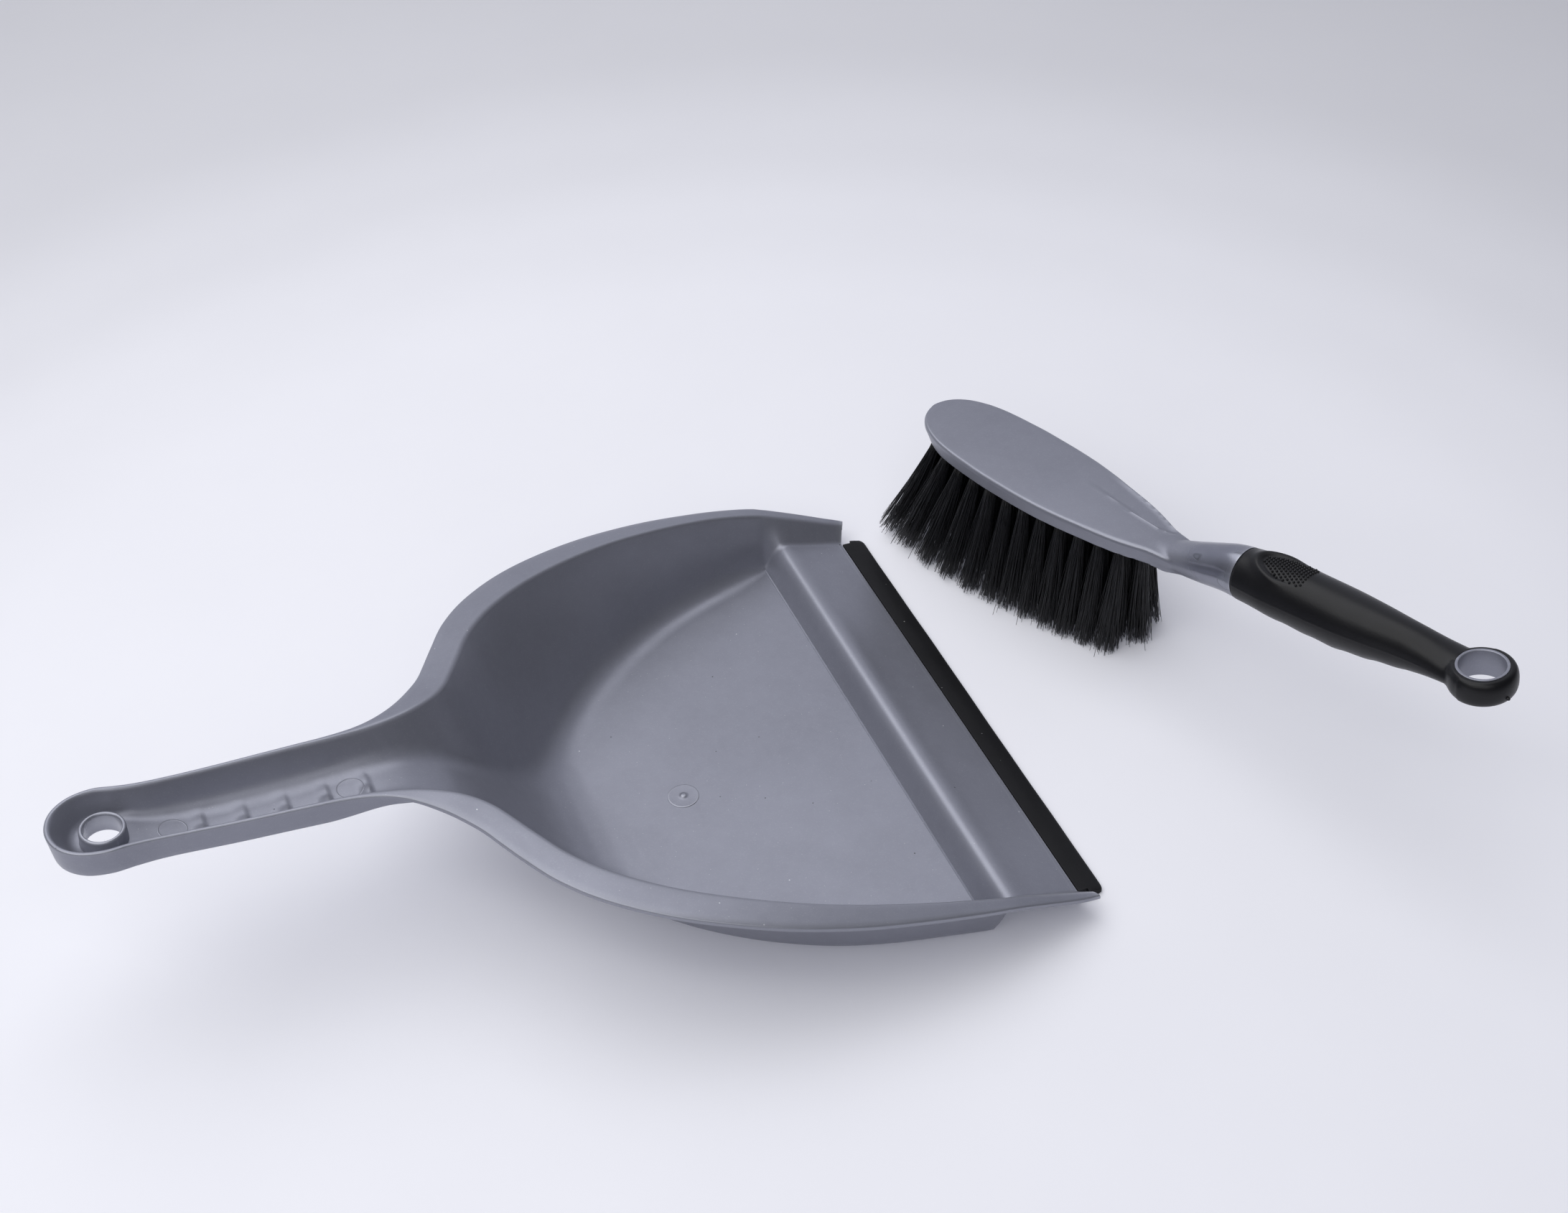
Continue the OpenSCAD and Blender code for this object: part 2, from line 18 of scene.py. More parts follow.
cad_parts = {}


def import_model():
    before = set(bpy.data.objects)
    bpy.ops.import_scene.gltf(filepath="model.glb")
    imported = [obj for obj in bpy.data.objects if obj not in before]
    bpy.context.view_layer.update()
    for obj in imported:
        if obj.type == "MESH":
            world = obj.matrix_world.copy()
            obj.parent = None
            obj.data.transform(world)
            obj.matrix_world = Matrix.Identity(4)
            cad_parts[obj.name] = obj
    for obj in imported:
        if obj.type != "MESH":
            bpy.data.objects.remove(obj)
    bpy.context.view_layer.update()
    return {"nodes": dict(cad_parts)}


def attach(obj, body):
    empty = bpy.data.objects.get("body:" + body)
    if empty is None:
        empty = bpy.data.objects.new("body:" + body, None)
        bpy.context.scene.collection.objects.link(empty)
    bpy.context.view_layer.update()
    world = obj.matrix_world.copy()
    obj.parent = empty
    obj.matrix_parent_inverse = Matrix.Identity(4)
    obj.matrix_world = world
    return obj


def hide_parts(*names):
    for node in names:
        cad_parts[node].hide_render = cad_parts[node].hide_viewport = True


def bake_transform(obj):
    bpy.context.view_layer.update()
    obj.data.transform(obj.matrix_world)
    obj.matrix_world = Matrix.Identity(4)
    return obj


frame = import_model()

MM = 0.001
TO_METRES = Matrix.Scale(MM, 4)
ROW = Matrix.Translation((0.1, 0, 0))  # metres


def world(point):
    """A point of the millimetre frame in metres, in its final place."""
    return ROW @ (Vector(point) * MM)


# ------------------------------------------------------------------ curves
class Curve:
    """Smooth curve through (x, y) points, without overshoot between them."""

    def __init__(self, points):
        self.x, self.y = np.array(points, float).T
        rise = np.diff(self.y) / np.diff(self.x)
        self.slope = np.zeros(len(self.x))
        self.slope[0], self.slope[-1] = rise[0], rise[-1]
        for i in range(1, len(self.x) - 1):
            before, after = rise[i - 1], rise[i]
            if before * after > 0:
                self.slope[i] = 2 * before * after / (before + after)

    def __call__(self, x):
        x = np.asarray(x, float)
        i = np.clip(np.searchsorted(self.x, x, side="right") - 1, 0, len(self.x) - 2)
        gap = self.x[i + 1] - self.x[i]
        t = np.clip((x - self.x[i]) / gap, 0, 1)
        start, end = self.slope[i] * gap, self.slope[i + 1] * gap
        return ((2 * t**3 - 3 * t**2 + 1) * self.y[i] + (t**3 - 2 * t**2 + t) * start
                + (3 * t**2 - 2 * t**3) * self.y[i + 1] + (t**3 - t**2) * end)


def ease(low, high, x):
    """Smooth step from 0 at low to 1 at high."""
    t = np.clip((np.asarray(x, float) - low) / (high - low), 0, 1)
    return t * t * (3 - 2 * t)


def unit(vectors):
    vectors = np.asarray(vectors, float)
    return vectors / np.maximum(np.linalg.norm(vectors, axis=-1, keepdims=True), 1e-9)


def bend(start, corner, end, count):
    """Points of the quadratic curve from start to end that is drawn towards corner."""
    return np.array([(1 - t) ** 2 * start + 2 * t * (1 - t) * corner + t * t * end
                     for t in np.linspace(0, 1, count)])


def rounded(polygon, radii, count):
    """A polygon with each corner rounded by its own radius, in count points."""
    corners = np.asarray(polygon, float)
    out = []
    for i, corner in enumerate(corners):
        before, after = corners[i - 1], corners[(i + 1) % len(corners)]
        reach = min(radii[i], 0.45 * np.linalg.norm(before - corner),
                    0.45 * np.linalg.norm(after - corner))
        if reach < 1e-6:
            out.append(tuple(corner))
            continue
        start = corner + unit(before - corner) * reach
        end = corner + unit(after - corner) * reach
        out += [tuple(point) for point in bend(start, corner, end, count)]
    return out


# ------------------------------------------------------------------ mesh helpers
def move(x, y, z):
    return Matrix.Translation((x, y, z))


def turn(degrees, axis):
    return Matrix.Rotation(math.radians(degrees), 4, axis)


def place(obj, matrix):
    """Move the mesh itself, and leave the object's own transform alone."""
    obj.data.transform(matrix)
    obj.data.update()
    return obj


def make(verts, faces, name="tool", smooth=True):
    data = bpy.data.meshes.new(name)
    data.from_pydata([tuple(v) for v in np.asarray(verts, float)], [], faces)
    data.validate()
    data.update()
    obj = bpy.data.objects.new(name, data)
    bpy.context.scene.collection.objects.link(obj)
    if smooth:
        data.polygons.foreach_set("use_smooth", [True] * len(data.polygons))
    return obj


@contextmanager
def editing(obj):
    mesh = bmesh.new()
    mesh.from_mesh(obj.data)
    yield mesh
    mesh.to_mesh(obj.data)
    mesh.free()
    obj.data.update()


def outward(obj):
    with editing(obj) as mesh:
        bmesh.ops.remove_doubles(mesh, verts=mesh.verts, dist=1e-7)
        bmesh.ops.recalc_face_normals(mesh, faces=mesh.faces)
        if mesh.calc_volume(signed=True) < 0:
            bmesh.ops.reverse_faces(mesh, faces=mesh.faces)
    return obj


def sharpen(obj, degrees):
    """Smooth faces, with hard edges only where the surface turns by more than the angle."""
    with editing(obj) as mesh:
        for face in mesh.faces:
            face.smooth = True
        for edge in mesh.edges:
            if len(edge.link_faces) == 2:
                edge.smooth = edge.calc_face_angle(0) < math.radians(degrees)
    return obj


def join(obj, other):
    """Put another object's mesh into this one, without merging the surfaces."""
    with editing(obj) as mesh:
        mesh.from_mesh(other.data)
    old = other.data
    bpy.data.objects.remove(other)
    bpy.data.meshes.remove(old)
    return obj


def boolean(obj, tool, operation):
    """Apply a boolean at once, and remove the tool."""
    modifier = obj.modifiers.new("boolean", "BOOLEAN")
    modifier.operation, modifier.object, modifier.solver = operation, tool, "MANIFOLD"
    graph = bpy.context.evaluated_depsgraph_get()
    graph.update()
    result = bpy.data.meshes.new_from_object(obj.evaluated_get(graph))
    obj.modifiers.clear()
    old = obj.data
    obj.data = result
    bpy.data.meshes.remove(old)
    bpy.data.objects.remove(tool)


def cut(obj, tool):
    boolean(obj, tool, "DIFFERENCE")


def add(obj, tool):
    boolean(obj, tool, "UNION")


def tube(rings):
    """Vertices and faces of a closed loft through rings of equal length."""
    n, last = len(rings[0]), (len(rings) - 1) * len(rings[0])
    faces = [(i * n + j, i * n + (j + 1) % n, (i + 1) * n + (j + 1) % n, (i + 1) * n + j)
             for i in range(len(rings) - 1) for j in range(n)]
    faces.append(tuple(range(n - 1, -1, -1)))
    faces.append(tuple(last + j for j in range(n)))
    return np.concatenate(rings), faces


def lathe(profile, count):
    """Closed solid of revolution about Z from a closed (radius, z) profile."""
    radius, z = np.asarray(profile, float).T
    rings = [np.stack([radius * math.cos(t), radius * math.sin(t), z], 1)
             for t in np.arange(count) * 2 * math.pi / count]
    n = len(profile)
    faces = [(i * n + j, (i + 1) % count * n + j,
              (i + 1) % count * n + (j + 1) % n, i * n + (j + 1) % n)
             for i in range(count) for j in range(n)]
    return outward(make(np.concatenate(rings), faces))


def cylinder(radius, bottom, top, count):
    angles = np.arange(count) * 2 * math.pi / count
    circle = np.stack([radius * np.cos(angles), radius * np.sin(angles)], 1)
    return make(*tube([np.c_[circle, np.full(count, z)] for z in (bottom, top)]))


def box(low, high):
    (x0, y0, z0), (x1, y1, z1) = low, high
    verts, faces = tube([[(x0, y0, z), (x1, y0, z), (x1, y1, z), (x0, y1, z)] for z in (z0, z1)])
    return make(verts, faces[4:] + faces[:4])  # end faces first


def prism_y(outline, half):
    """Closed prism along Y from an (x, z) outline."""
    return outward(make(*tube([[(x, y, z) for x, z in outline] for y in (-half, half)])))


# ------------------------------------------------------------------ dustpan dimensions
SHEET = 2.4  # wall thickness
WIDTH_FIT = 256 / 256.2  # from the tables' widths to the pan's
RAMP_FOOT = -47.5
RAMP_HEIGHT = 10.3
HANG_X = -343.5  # the hang-up hole's centre
NOSE_HALF = 112.9 * WIDTH_FIT
LIP_HALF = 114 * WIDTH_FIT
LIP_BACK = -10.25
BEAD_X, BEAD_Z = -12.4, 2.3  # axis of the lip's bead and its groove
RIDGE_X, RIDGE_PITCH, RIDGE_COUNT = -249.1, 15.1, 5  # first ridge; the others follow towards -X

# Height of the wall's top edge: (x, z)
RIM = Curve([
    [-362, 83.0], [-343.5, 81.6], [-330, 79.6], [-320, 78.2], [-300, 75.9], [-280, 74.1],
    [-260, 72.2], [-240, 69.7], [-230, 68.2], [-220, 66.4], [-210, 63.9], [-200, 61.3],
    [-190, 59.5], [-165, 54.9], [-135, 49], [-105, 42.4], [-75, 35.2], [-60, 31.1], [-45, 26],
    [-30, 19.6], [-15, 12.7], [-7, 8.9]])
# Underside of the floor from the handle down to the tray: (x, z)
FALL = Curve([
    [-362, 70.7], [-343.5, 69.2], [-335, 67.8], [-327, 65.5], [-314, 62.5], [-300, 60.4],
    [-285, 58.9], [-270, 57.8], [-255, 57], [-245, 56.2], [-236, 54.6], [-228, 51.6], [-220, 46.6],
    [-212, 39], [-204, 30], [-196, 20.4], [-189, 12.6], [-183, 7.2], [-177, 3.4], [-170, 1],
    [-162, 0.1], [-155, 0], [RAMP_FOOT, 0]])
# Ramp behind the lip: (x, share of RAMP_HEIGHT)
RAMP = Curve([
    [RAMP_FOOT, 0], [-45.6, 0.27], [-43.4, 0.63], [-41.4, 0.87], [-39.6, 0.98], [-38.2, 1],
    [-36, 0.965], [-33, 0.86], [-30, 0.75], [-20, 0.44], [-14, 0.265], [-10, 0.15]])
# The wall on the +Y side: rim x, rim y, flange width, foot x, foot y, fillet length
WALL = np.array([
    [-360.5, 0, 1.7, -355, 0, 3], [-358.2, 8.0, 1.7, -353.5, 5.7, 3],
    [-352, 13.4, 1.7, -349.2, 10, 3], [-343.5, 15.3, 1.7, -343.5, 11.4, 3],
    [-335.5, 14.4, 1.7, -336.3, 10.2, 3.2], [-327, 13.9, 1.7, -327, 8.9, 4],
    [-314, 14.1, 1.7, -314, 8.9, 5.5], [-300, 14.6, 1.7, -300, 9, 6],
    [-286, 15.1, 1.7, -286, 9.1, 6], [-272, 15.5, 1.8, -272, 9.3, 6],
    [-259, 15.9, 2, -258.5, 9.5, 6], [-248, 16.8, 2.7, -246, 9.8, 6.5],
    [-239, 18.4, 4.2, -235, 10.4, 7], [-230.5, 20.8, 6.6, -224.5, 11.4, 7.5],
    [-222.5, 24.3, 9, -214, 12.8, 8], [-215.5, 28.8, 11, -204.5, 15, 8],
    [-209.8, 34.5, 12, -196, 18, 8.5], [-205, 42, 12.4, -188, 22.5, 9],
    [-199.5, 51.5, 12.6, -180, 29, 9], [-191.5, 64.5, 12.7, -171, 39, 9.5],
    [-179.5, 77.5, 12.7, -160.5, 53, 10], [-162, 90.2, 12.7, -146, 69, 10],
    [-141, 100.9, 12.6, -127, 84.5, 10], [-118, 109.7, 12.2, -106, 96.8, 9.5],
    [-95, 115.6, 10.9, -86, 104.6, 9], [-73, 119.4, 8.6, -67, 109.6, 8],
    [-56, 120.9, 7, -53.5, 112.2, 5], [-47.5, 121.1, 6.3, -47.5, 112.9, 2.5],
    [-45.6, 121.1, 6.2, -45.6, 113, 2], [-43.4, 121, 6, -43.4, 113, 2],
    [-41, 121, 5.8, -41, 113, 2], [-37.5, 120.8, 5.6, -37.5, 113, 2],
    [-30, 120.5, 5.1, -30, 113, 2], [-20, 119.9, 4.5, -20, 113, 2],
    [-14, 119.5, 4, -14.5, 113, 2], [-7.6, 119.1, 3.2, -10.8, 113, 1.5]])
# Mesh stations in each gap between rows of WALL
WALL_STEPS = [8] * 5 + [17] * 6 + [8] * 9 + [7] * 6 + [3] * 9

# Columns of a half section, from the centre line outwards
FLOOR_END = 8  # last column of the flat floor
FILLET_STEPS = 10
WALL_END = FLOOR_END + FILLET_STEPS + 6  # first column of the crease at the rim


# ------------------------------------------------------------------ dustpan
def fit_x(x):
    """Shorten the 312.2 mm behind x = -50 to 312 mm."""
    x = np.asarray(x, float)
    return np.where(x > -50, x, -50 + (x + 50) * 312 / 312.2)


def floor_z(x):
    """Top of the pan's floor."""
    x = np.asarray(x, float)
    return SHEET + np.where(x < RAMP_FOOT, FALL(x), RAMP_HEIGHT * RAMP(x))


def ridge_row(x):
    """Height, 0 to 1, of the ridges across the handle."""
    x = np.asarray(x, float)
    height = np.zeros(x.shape)
    for k in range(RIDGE_COUNT):
        off = x - RIDGE_X + k * RIDGE_PITCH
        # Steep towards the tray, with a soft shoulder towards the handle's end
        width = np.where(off > 0, 1.7, 5.2)
        wave = (1 + np.cos(math.pi * off / width)) / 2
        height = np.maximum(height, np.where(np.abs(off) < width, wave, 0))
    return height


def wall_stations():
    """Rows of WALL with rows between them, on a Catmull-Rom spline."""
    before_first = WALL[1] * [1, -1, 1, 1, -1, 1]
    rows = np.concatenate([[before_first], WALL, WALL[-1:]])
    out = []
    for i, count in enumerate(WALL_STEPS):
        a, b, c, d = rows[i:i + 4]
        for t in np.arange(count) / count:
            out.append(0.5 * (2 * b + (c - a) * t + (2 * a - 5 * b + 4 * c - d) * t**2
                              + (3 * b - a - 3 * c + d) * t**3))
    return out + [WALL[-1]]


def flange_run(corner, out, start, width, edge, drop, upward):
    """Flat run of the flange, then its rounded edge; upward is 1 on top and -1 below."""
    points = []
    for t in np.linspace(0, 1, 5)[1:]:
        reach = start + (width - edge - start) * t
        points.append(corner + out * reach - [0, 0, drop(reach)])
    for t in np.linspace(0, math.pi / 2, 5)[1:]:
        reach = width - edge + edge * math.sin(t)
        points.append(corner + out * reach
                      - [0, 0, drop.full + upward * edge * (1 - math.cos(t))])
    return points


class Dip:
    """The flange dips slightly towards its edge."""

    def __init__(self, flange, offset):
        self.flange, self.offset = flange, offset
        self.full = 0.5 * ease(3, 9, flange)

    def __call__(self, reach):
        return self.full * ((self.offset + reach) / self.flange) ** 2


def skirt_path(rim, out, flange, bottom, dip):
    """Outer wall that hangs almost straight down from the rim, from its foot upwards."""
    foot = bottom + 1.3
    top = rim[2] - dip - 1.6
    inner, outer = rim + out * (flange - 3.0), rim + out * (flange - 0.75)
    path = bend(inner, outer, outer + out * 0.12, 6)[1:]
    path[:, 2] = bottom + 1.3 * np.linspace(0, 1, 6)[1:] ** 2
    path = list(path)
    for t in np.linspace(0, 1, 5)[1:]:
        x, y, _ = rim + out * (flange - 0.63 + 0.6 * t)
        path.append([x, y, foot + (top - foot) * t])
    for t in np.linspace(0, math.pi / 2, 5)[1:]:
        x, y, _ = rim + out * (flange - 0.03 * (1 - math.sin(t)))
        path.append([x, y, top + 0.5 * math.sin(t)])
    return np.array(path), np.array([inner[0], inner[1], bottom])


def half_section(row):
    """One station on the +Y side, from the centre line to the flange's edge.

    Returns the x where the fillet starts, the top without ridges, the flange's underside,
    how far the outer wall hangs (0 to 1) and the inner foot of that wall.
    """
    rim_x, rim_y, flange, foot_x, foot_y, fillet = row
    rim = np.array([fit_x(rim_x), rim_y * WIDTH_FIT, RIM(rim_x)])
    foot = np.array([fit_x(foot_x), foot_y * WIDTH_FIT, floor_z(foot_x)])
    out = unit([rim[0] - foot[0], rim[1] - foot[1], 0])
    span = np.hypot(rim[0] - foot[0], rim[1] - foot[1])
    fillet = min(fillet, span * 1.4, rim[2] - foot[2])
    start_x = foot_x - out[0] * fillet
    start = np.array([fit_x(start_x), max(0, foot[1] - out[1] * fillet), floor_z(start_x)])
    wall = unit(rim - foot)
    end = foot + wall * fillet * 0.9

    top = [[start[0], start[1] * t, start[2]] for t in np.linspace(0, 1, FLOOR_END + 1)]
    top += list(bend(start, foot, end, FILLET_STEPS + 1)[1:])
    last = rim - wall * 1.6
    top += [end + (last - end) * t for t in np.linspace(0, 1, 6)[1:]]
    bend_end, edge = min(1.5, 0.4 * flange), min(0.8, 0.42 * flange)
    top += list(bend(last, rim, rim + out * bend_end, 6)[1:])
    top += flange_run(rim, out, bend_end, flange, edge, Dip(flange, 0), 1)

    offset = SHEET * math.tan(math.asin(wall[2]) / 2)
    corner = rim + out * offset - [0, 0, SHEET]
    room = max(flange - offset, 0.02)
    bend_end, edge = min(1.0, room * 0.4), min(0.8, room * 0.45)
    dip = Dip(flange, offset)
    under = list(bend(corner - wall * 1.4, corner, corner + out * bend_end, 6)[1:])
    under += flange_run(corner, out, bend_end, room, edge, dip, -1)

    # Along the handle the underside becomes a hanging outer wall
    hang = 1 - float(ease(-240, -219, rim_x))
    depth = 11.2 + 1.2 * (1 - float(ease(-345, -318, rim_x)))
    depth *= 1 - 0.72 * float(ease(-268, -226, rim_x))
    bottom = max(rim[2] - depth, floor_z(foot_x) - SHEET + 0.15)
    path, skirt = skirt_path(rim, out, flange, bottom, dip.full)
    return start_x, top, np.array(under) * (1 - hang) + path * hang, hang, skirt


def mirrored(half):
    """A grid from the -Y edge to the +Y edge, from its +Y half."""
    return np.concatenate([half[:, :0:-1] * [1, -1, 1], half], 1)


def underside(top, under, hang, skirt):
    """Offset the top by the sheet's thickness, and fit the flange's underside to it."""
    full = mirrored(top)
    normals = unit(np.cross(np.gradient(full, axis=0), np.gradient(full, axis=1)))
    normals = np.where(normals[..., 2:] < 0, -normals, normals)[:, top.shape[1] - 1:]
    # The first station lies in the plane y = 0, and so do its normals
    normals[0] = unit(normals[1] * [1, 0, 1])
    normals[0, :FLOOR_END + 1] = normals[0, FLOOR_END]
    low = top - SHEET * normals
    low[..., 2] = np.maximum(low[..., 2], 0)
    share = (np.arange(FLOOR_END + 1, WALL_END) - FLOOR_END) / (WALL_END - FLOOR_END)
    share, hang = share[None, :, None], hang[:, None, None]
    straight = low[:, FLOOR_END, None] * (1 - share) + skirt[:, None] * share
    wall = low[:, FLOOR_END + 1:WALL_END]
    low[:, FLOOR_END + 1:WALL_END] = wall * (1 - hang) + straight * hang
    low[:, WALL_END:] = under
    return low


def pan_shell():
    start_x, plain, under, hang, skirt = map(
        np.array, zip(*[half_section(row) for row in wall_stations()]))
    stations, half = plain.shape[:2]
    bottom = mirrored(underside(plain, under, hang, skirt))

    # Ridges fade out up the fillet and towards the sides
    fillet_share = np.clip((np.arange(half) - FLOOR_END) / FILLET_STEPS, 0, None)
    fade = np.sqrt(np.clip(1 - fillet_share / 0.75, 0, None))
    raised = plain.copy()
    raised[..., 2] += (0.5 * ridge_row(start_x[:, None])
                       * (1 - ease(2, 9.5, np.abs(plain[..., 1]))) * fade)
    top = mirrored(raised)
    # They stand taller on the -Y side
    x, y = top[..., 0], top[..., 1]
    top[..., 2] += (1.25 * ridge_row(x) * (1 - ease(-5.5, 0.5, y))
                    * (1 - ease(8.5, 11.5, -y)) * (x < -200))

    columns = 2 * half - 1
    below = stations * columns
    verts = np.concatenate([top.reshape(-1, 3), bottom.reshape(-1, 3)])
    faces = []

    def index(i, j):
        """Vertex of a station; the first station is folded onto its +Y half."""
        if i == 0:
            return max(FLOOR_END, abs(j - (half - 1))) + half - 1
        return i * columns + j

    def quad(*corners):
        corners = [v for k, v in enumerate(corners) if v != corners[k - 1]]
        if len(set(corners)) >= 3:
            faces.append(tuple(corners))

    last = columns - 1
    for i in range(stations - 1):
        for j in range(last):
            ring = (index(i, j), index(i + 1, j), index(i + 1, j + 1), index(i, j + 1))
            quad(*ring)
            quad(*[below + ring[k] for k in (0, 3, 2, 1)])
        near, ahead = index(i, 0), index(i + 1, 0)
        quad(near, below + near, below + ahead, ahead)
        near, ahead = index(i, last), index(i + 1, last)
        quad(near, ahead, below + ahead, below + near)
    for j in range(last):
        near, ahead = index(stations - 1, j), index(stations - 1, j + 1)
        quad(near, below + near, below + ahead, ahead)
    used = sorted({v for face in faces for v in face})
    order = {v: k for k, v in enumerate(used)}
    faces = [tuple(order[v] for v in face) for face in faces]
    return outward(make(verts[used], faces, "pan_moulding"))


def bead_rod(radius, half):
    """Rod along Y on the axis of the lip's bead."""
    return place(cylinder(radius, -half, half, 48), move(BEAD_X, 0, BEAD_Z) @ turn(90, "X"))


def add_nose(pan):
    """Front edge of the ramp, with the groove for the lip's bead."""
    inner = NOSE_HALF - 0.5
    cut(pan, box((-18, -inner, -1), (-8, inner, 4.6)))
    nose = prism_y([(-17.5, 3.4), (-17.5, 5.2), (-14, 4.95), (-10.9, 4.04), (-10.62, 3.8),
                    (-10.6, 0.5), (-10.8, 0.25), (-15, 0.25)], NOSE_HALF)
    cut(nose, bead_rod(1.3, inner))
    cut(nose, box((BEAD_X, -inner, 1.45), (-8.4, inner, 3.15)))
    add(pan, nose)


def dustpan():
    pan = pan_shell()
    add_nose(pan)
    # Hairline step along the ramp's foot
    step = [(-48.15, 1.6), (-48.15, 2.72), (-47.4, 2.74), (-47.0, 1.6)]
    add(pan, prism_y(rounded(step, [0, 0.18, 0.25, 0], 4), 112.7))
    # Collar of the hang-up hole
    hang_at = move(float(fit_x(HANG_X)), 0, float(floor_z(HANG_X))) @ turn(5, "Y")
    collar = [(5.8, -2.4), (8.5, -2.4), (8.5, -0.2), (8.62, 0.3), (8.35, 5.2), (8.2, 5.65),
              (7.9, 5.92), (7.5, 6.0), (7.2, 5.9), (6.9, 5.6), (6.75, 5.1), (5.8, 5.1)]
    add(pan, place(lathe(collar, 128), hang_at))
    # Gate mark on the tray
    gate = [(0.01, -1), (6.3, -1), (6.3, 0.14), (6.15, 0.24), (5.7, 0.22), (2.4, 0.1),
            (1.5, 0.16), (1.1, 0.5), (0.7, 0.62), (0.01, 0.62)]
    add(pan, place(lathe(gate, 96), move(float(fit_x(-130)) + 0.8, -2.2, SHEET)))
    # Hang-up hole
    hole = [(0.01, -12), (7.3, -12), (7.3, -2.75), (6.85, -2.1), (6.7, -1.6), (6.7, 5.05),
            (6.85, 5.6), (7.3, 6.6), (7.3, 14), (0.01, 14)]
    cut(pan, place(lathe(hole, 128), hang_at))
    place(pan, TO_METRES)
    return sharpen(pan, 38)


def lip():
    """Soft blade along the front edge, with its bead in the nose's groove."""
    outline = [(LIP_BACK, 0.35), (LIP_BACK, 3.85), (-5, 3.35), (-0.9, 2.15), (0, 1.5),
               (0, 0.35), (-0.5, 0)]
    x, z = np.array(rounded(outline, [0.1, 0.25, 3, 1.2, 0.5, 0.3, 0.3], 6)).T
    forward = (x - LIP_BACK) / -LIP_BACK  # 0 at the back, 1 at the front edge
    # Stations are closer together near the ends, where the front corners are rounded
    ends = np.array([0, 0.25, 0.7, 1.4, 2.4, 4])
    middle = np.linspace(-LIP_HALF + 7, LIP_HALF - 7, 60)
    rings = []
    for y in np.concatenate([ends - LIP_HALF, middle, (LIP_HALF - ends)[::-1]]):
        corner = max(0.0, (abs(y) - (LIP_HALF - 3.0)) / 3.0)
        pull = 1.6 * (1 - math.sqrt(max(0.0, 1 - corner**2)))
        wave = 0.12 * math.sin(y * 0.055) + 0.06 * math.sin(y * 0.17 + 1)
        front = x - forward * pull + wave * forward * ease(-3, 0, x) * 0.6
        rings.append(np.stack([front, np.full(len(x), y), z], 1))
    blade = outward(make(*tube(rings), "rubber_lip"))
    inner = NOSE_HALF - 1
    add(blade, box((BEAD_X, -inner, 1.8), (-9.6, inner, 2.8)))
    add(blade, bead_rod(1.24, inner))
    # Trim the back of the blade at both ends
    inside, beyond = 1.55, 2.0
    for side in (-1, 1):
        trim = [(-13, -1), (-13, 6), (-6.4, 6), (-6.1, -1)]
        trim = prism_y(rounded(trim, [0, 0, 0.4, 0.4], 4), (inside + beyond) / 2)
        cut(blade, place(trim, move(0, side * (LIP_HALF + (beyond - inside) / 2), 0)))
    place(blade, TO_METRES)
    return sharpen(blade, 40)


# ------------------------------------------------------------------ brush dimensions
BRUSH = move(39.1, 121.2, 60) @ turn(-70.2, "Z")
RISE = 0.149  # slope of the grip's axis
AXIS_X, AXIS_Z = 160, 5.9  # start of the grip's axis
AXIS = move(AXIS_X, 0, AXIS_Z) @ Matrix.Rotation(-math.atan(RISE), 4, "Y")
GRIP_START = 14.0  # along the axis
RING_AT = 121.7  # centre of the hanging ring, along the axis
BASE = -8.3  # underside of the bristle block
HALF_WIDTH = 21.2
NECK_START = 100.0  # from here the block blends into the neck

# Distances below are from the toe.
# Block plan: (distance, share of HALF_WIDTH)
PLAN = Curve([
    [0, 0.1], [0.5, 0.2], [2, 0.335], [5, 0.54], [9, 0.665], [14, 0.77], [20, 0.862],
    [28, 0.922], [38, 0.966], [50, 0.993], [62, 0.991], [75, 0.968], [88, 0.902], [100, 0.808],
    [110, 0.726], [118, 0.637], [125, 0.535], [131, 0.445], [138, 0.4], [150, 0.36], [184, 0.36]])
# Round toe: (distance, half-width squared)
TOE_SQUARE = Curve([[0, 0], [2, 56], [5, 124], [9, 199], [14, 270], [20, 335], [28, 386],
                    [38, 420], [50, 443.2]])
# Neck: (distance, top z), (distance, bottom z), (distance, half-width)
NECK_TOP = Curve([
    [100, -5], [115, -3], [124, -1.4], [130, -0.1], [136, 1.6], [140, 3.6], [146, 6.7],
    [151, 9.4], [156, 11.9], [161, 14.3], [166, 16.5], [170, 17.9], [174, 18.95]])
NECK_BOTTOM = Curve([
    [100, -7.5], [120, -8.0], [130, -8.35], [138, -8.6], [146, -8.2], [151, -7.3], [156, -6.1],
    [161, -4.7], [166, -3.4], [170, -2.75], [174, -2.4]])
NECK_WIDTH = Curve([[100, 4.5], [115, 6.0], [125, 6.9], [136, 7.4], [146, 8.05], [156, 9.05],
                    [166, 9.95], [174, 10.75]])
# Crease on the top's +Y side, where the neck's skin runs out over the block: (distance, y)
CREASE = Curve([[84, 6.4], [93, 5.8], [100, 5.4], [107, 5.1], [115, 4.5], [122, 4.4], [128, 5.0],
                [132, 6.7], [136, 8.6]])

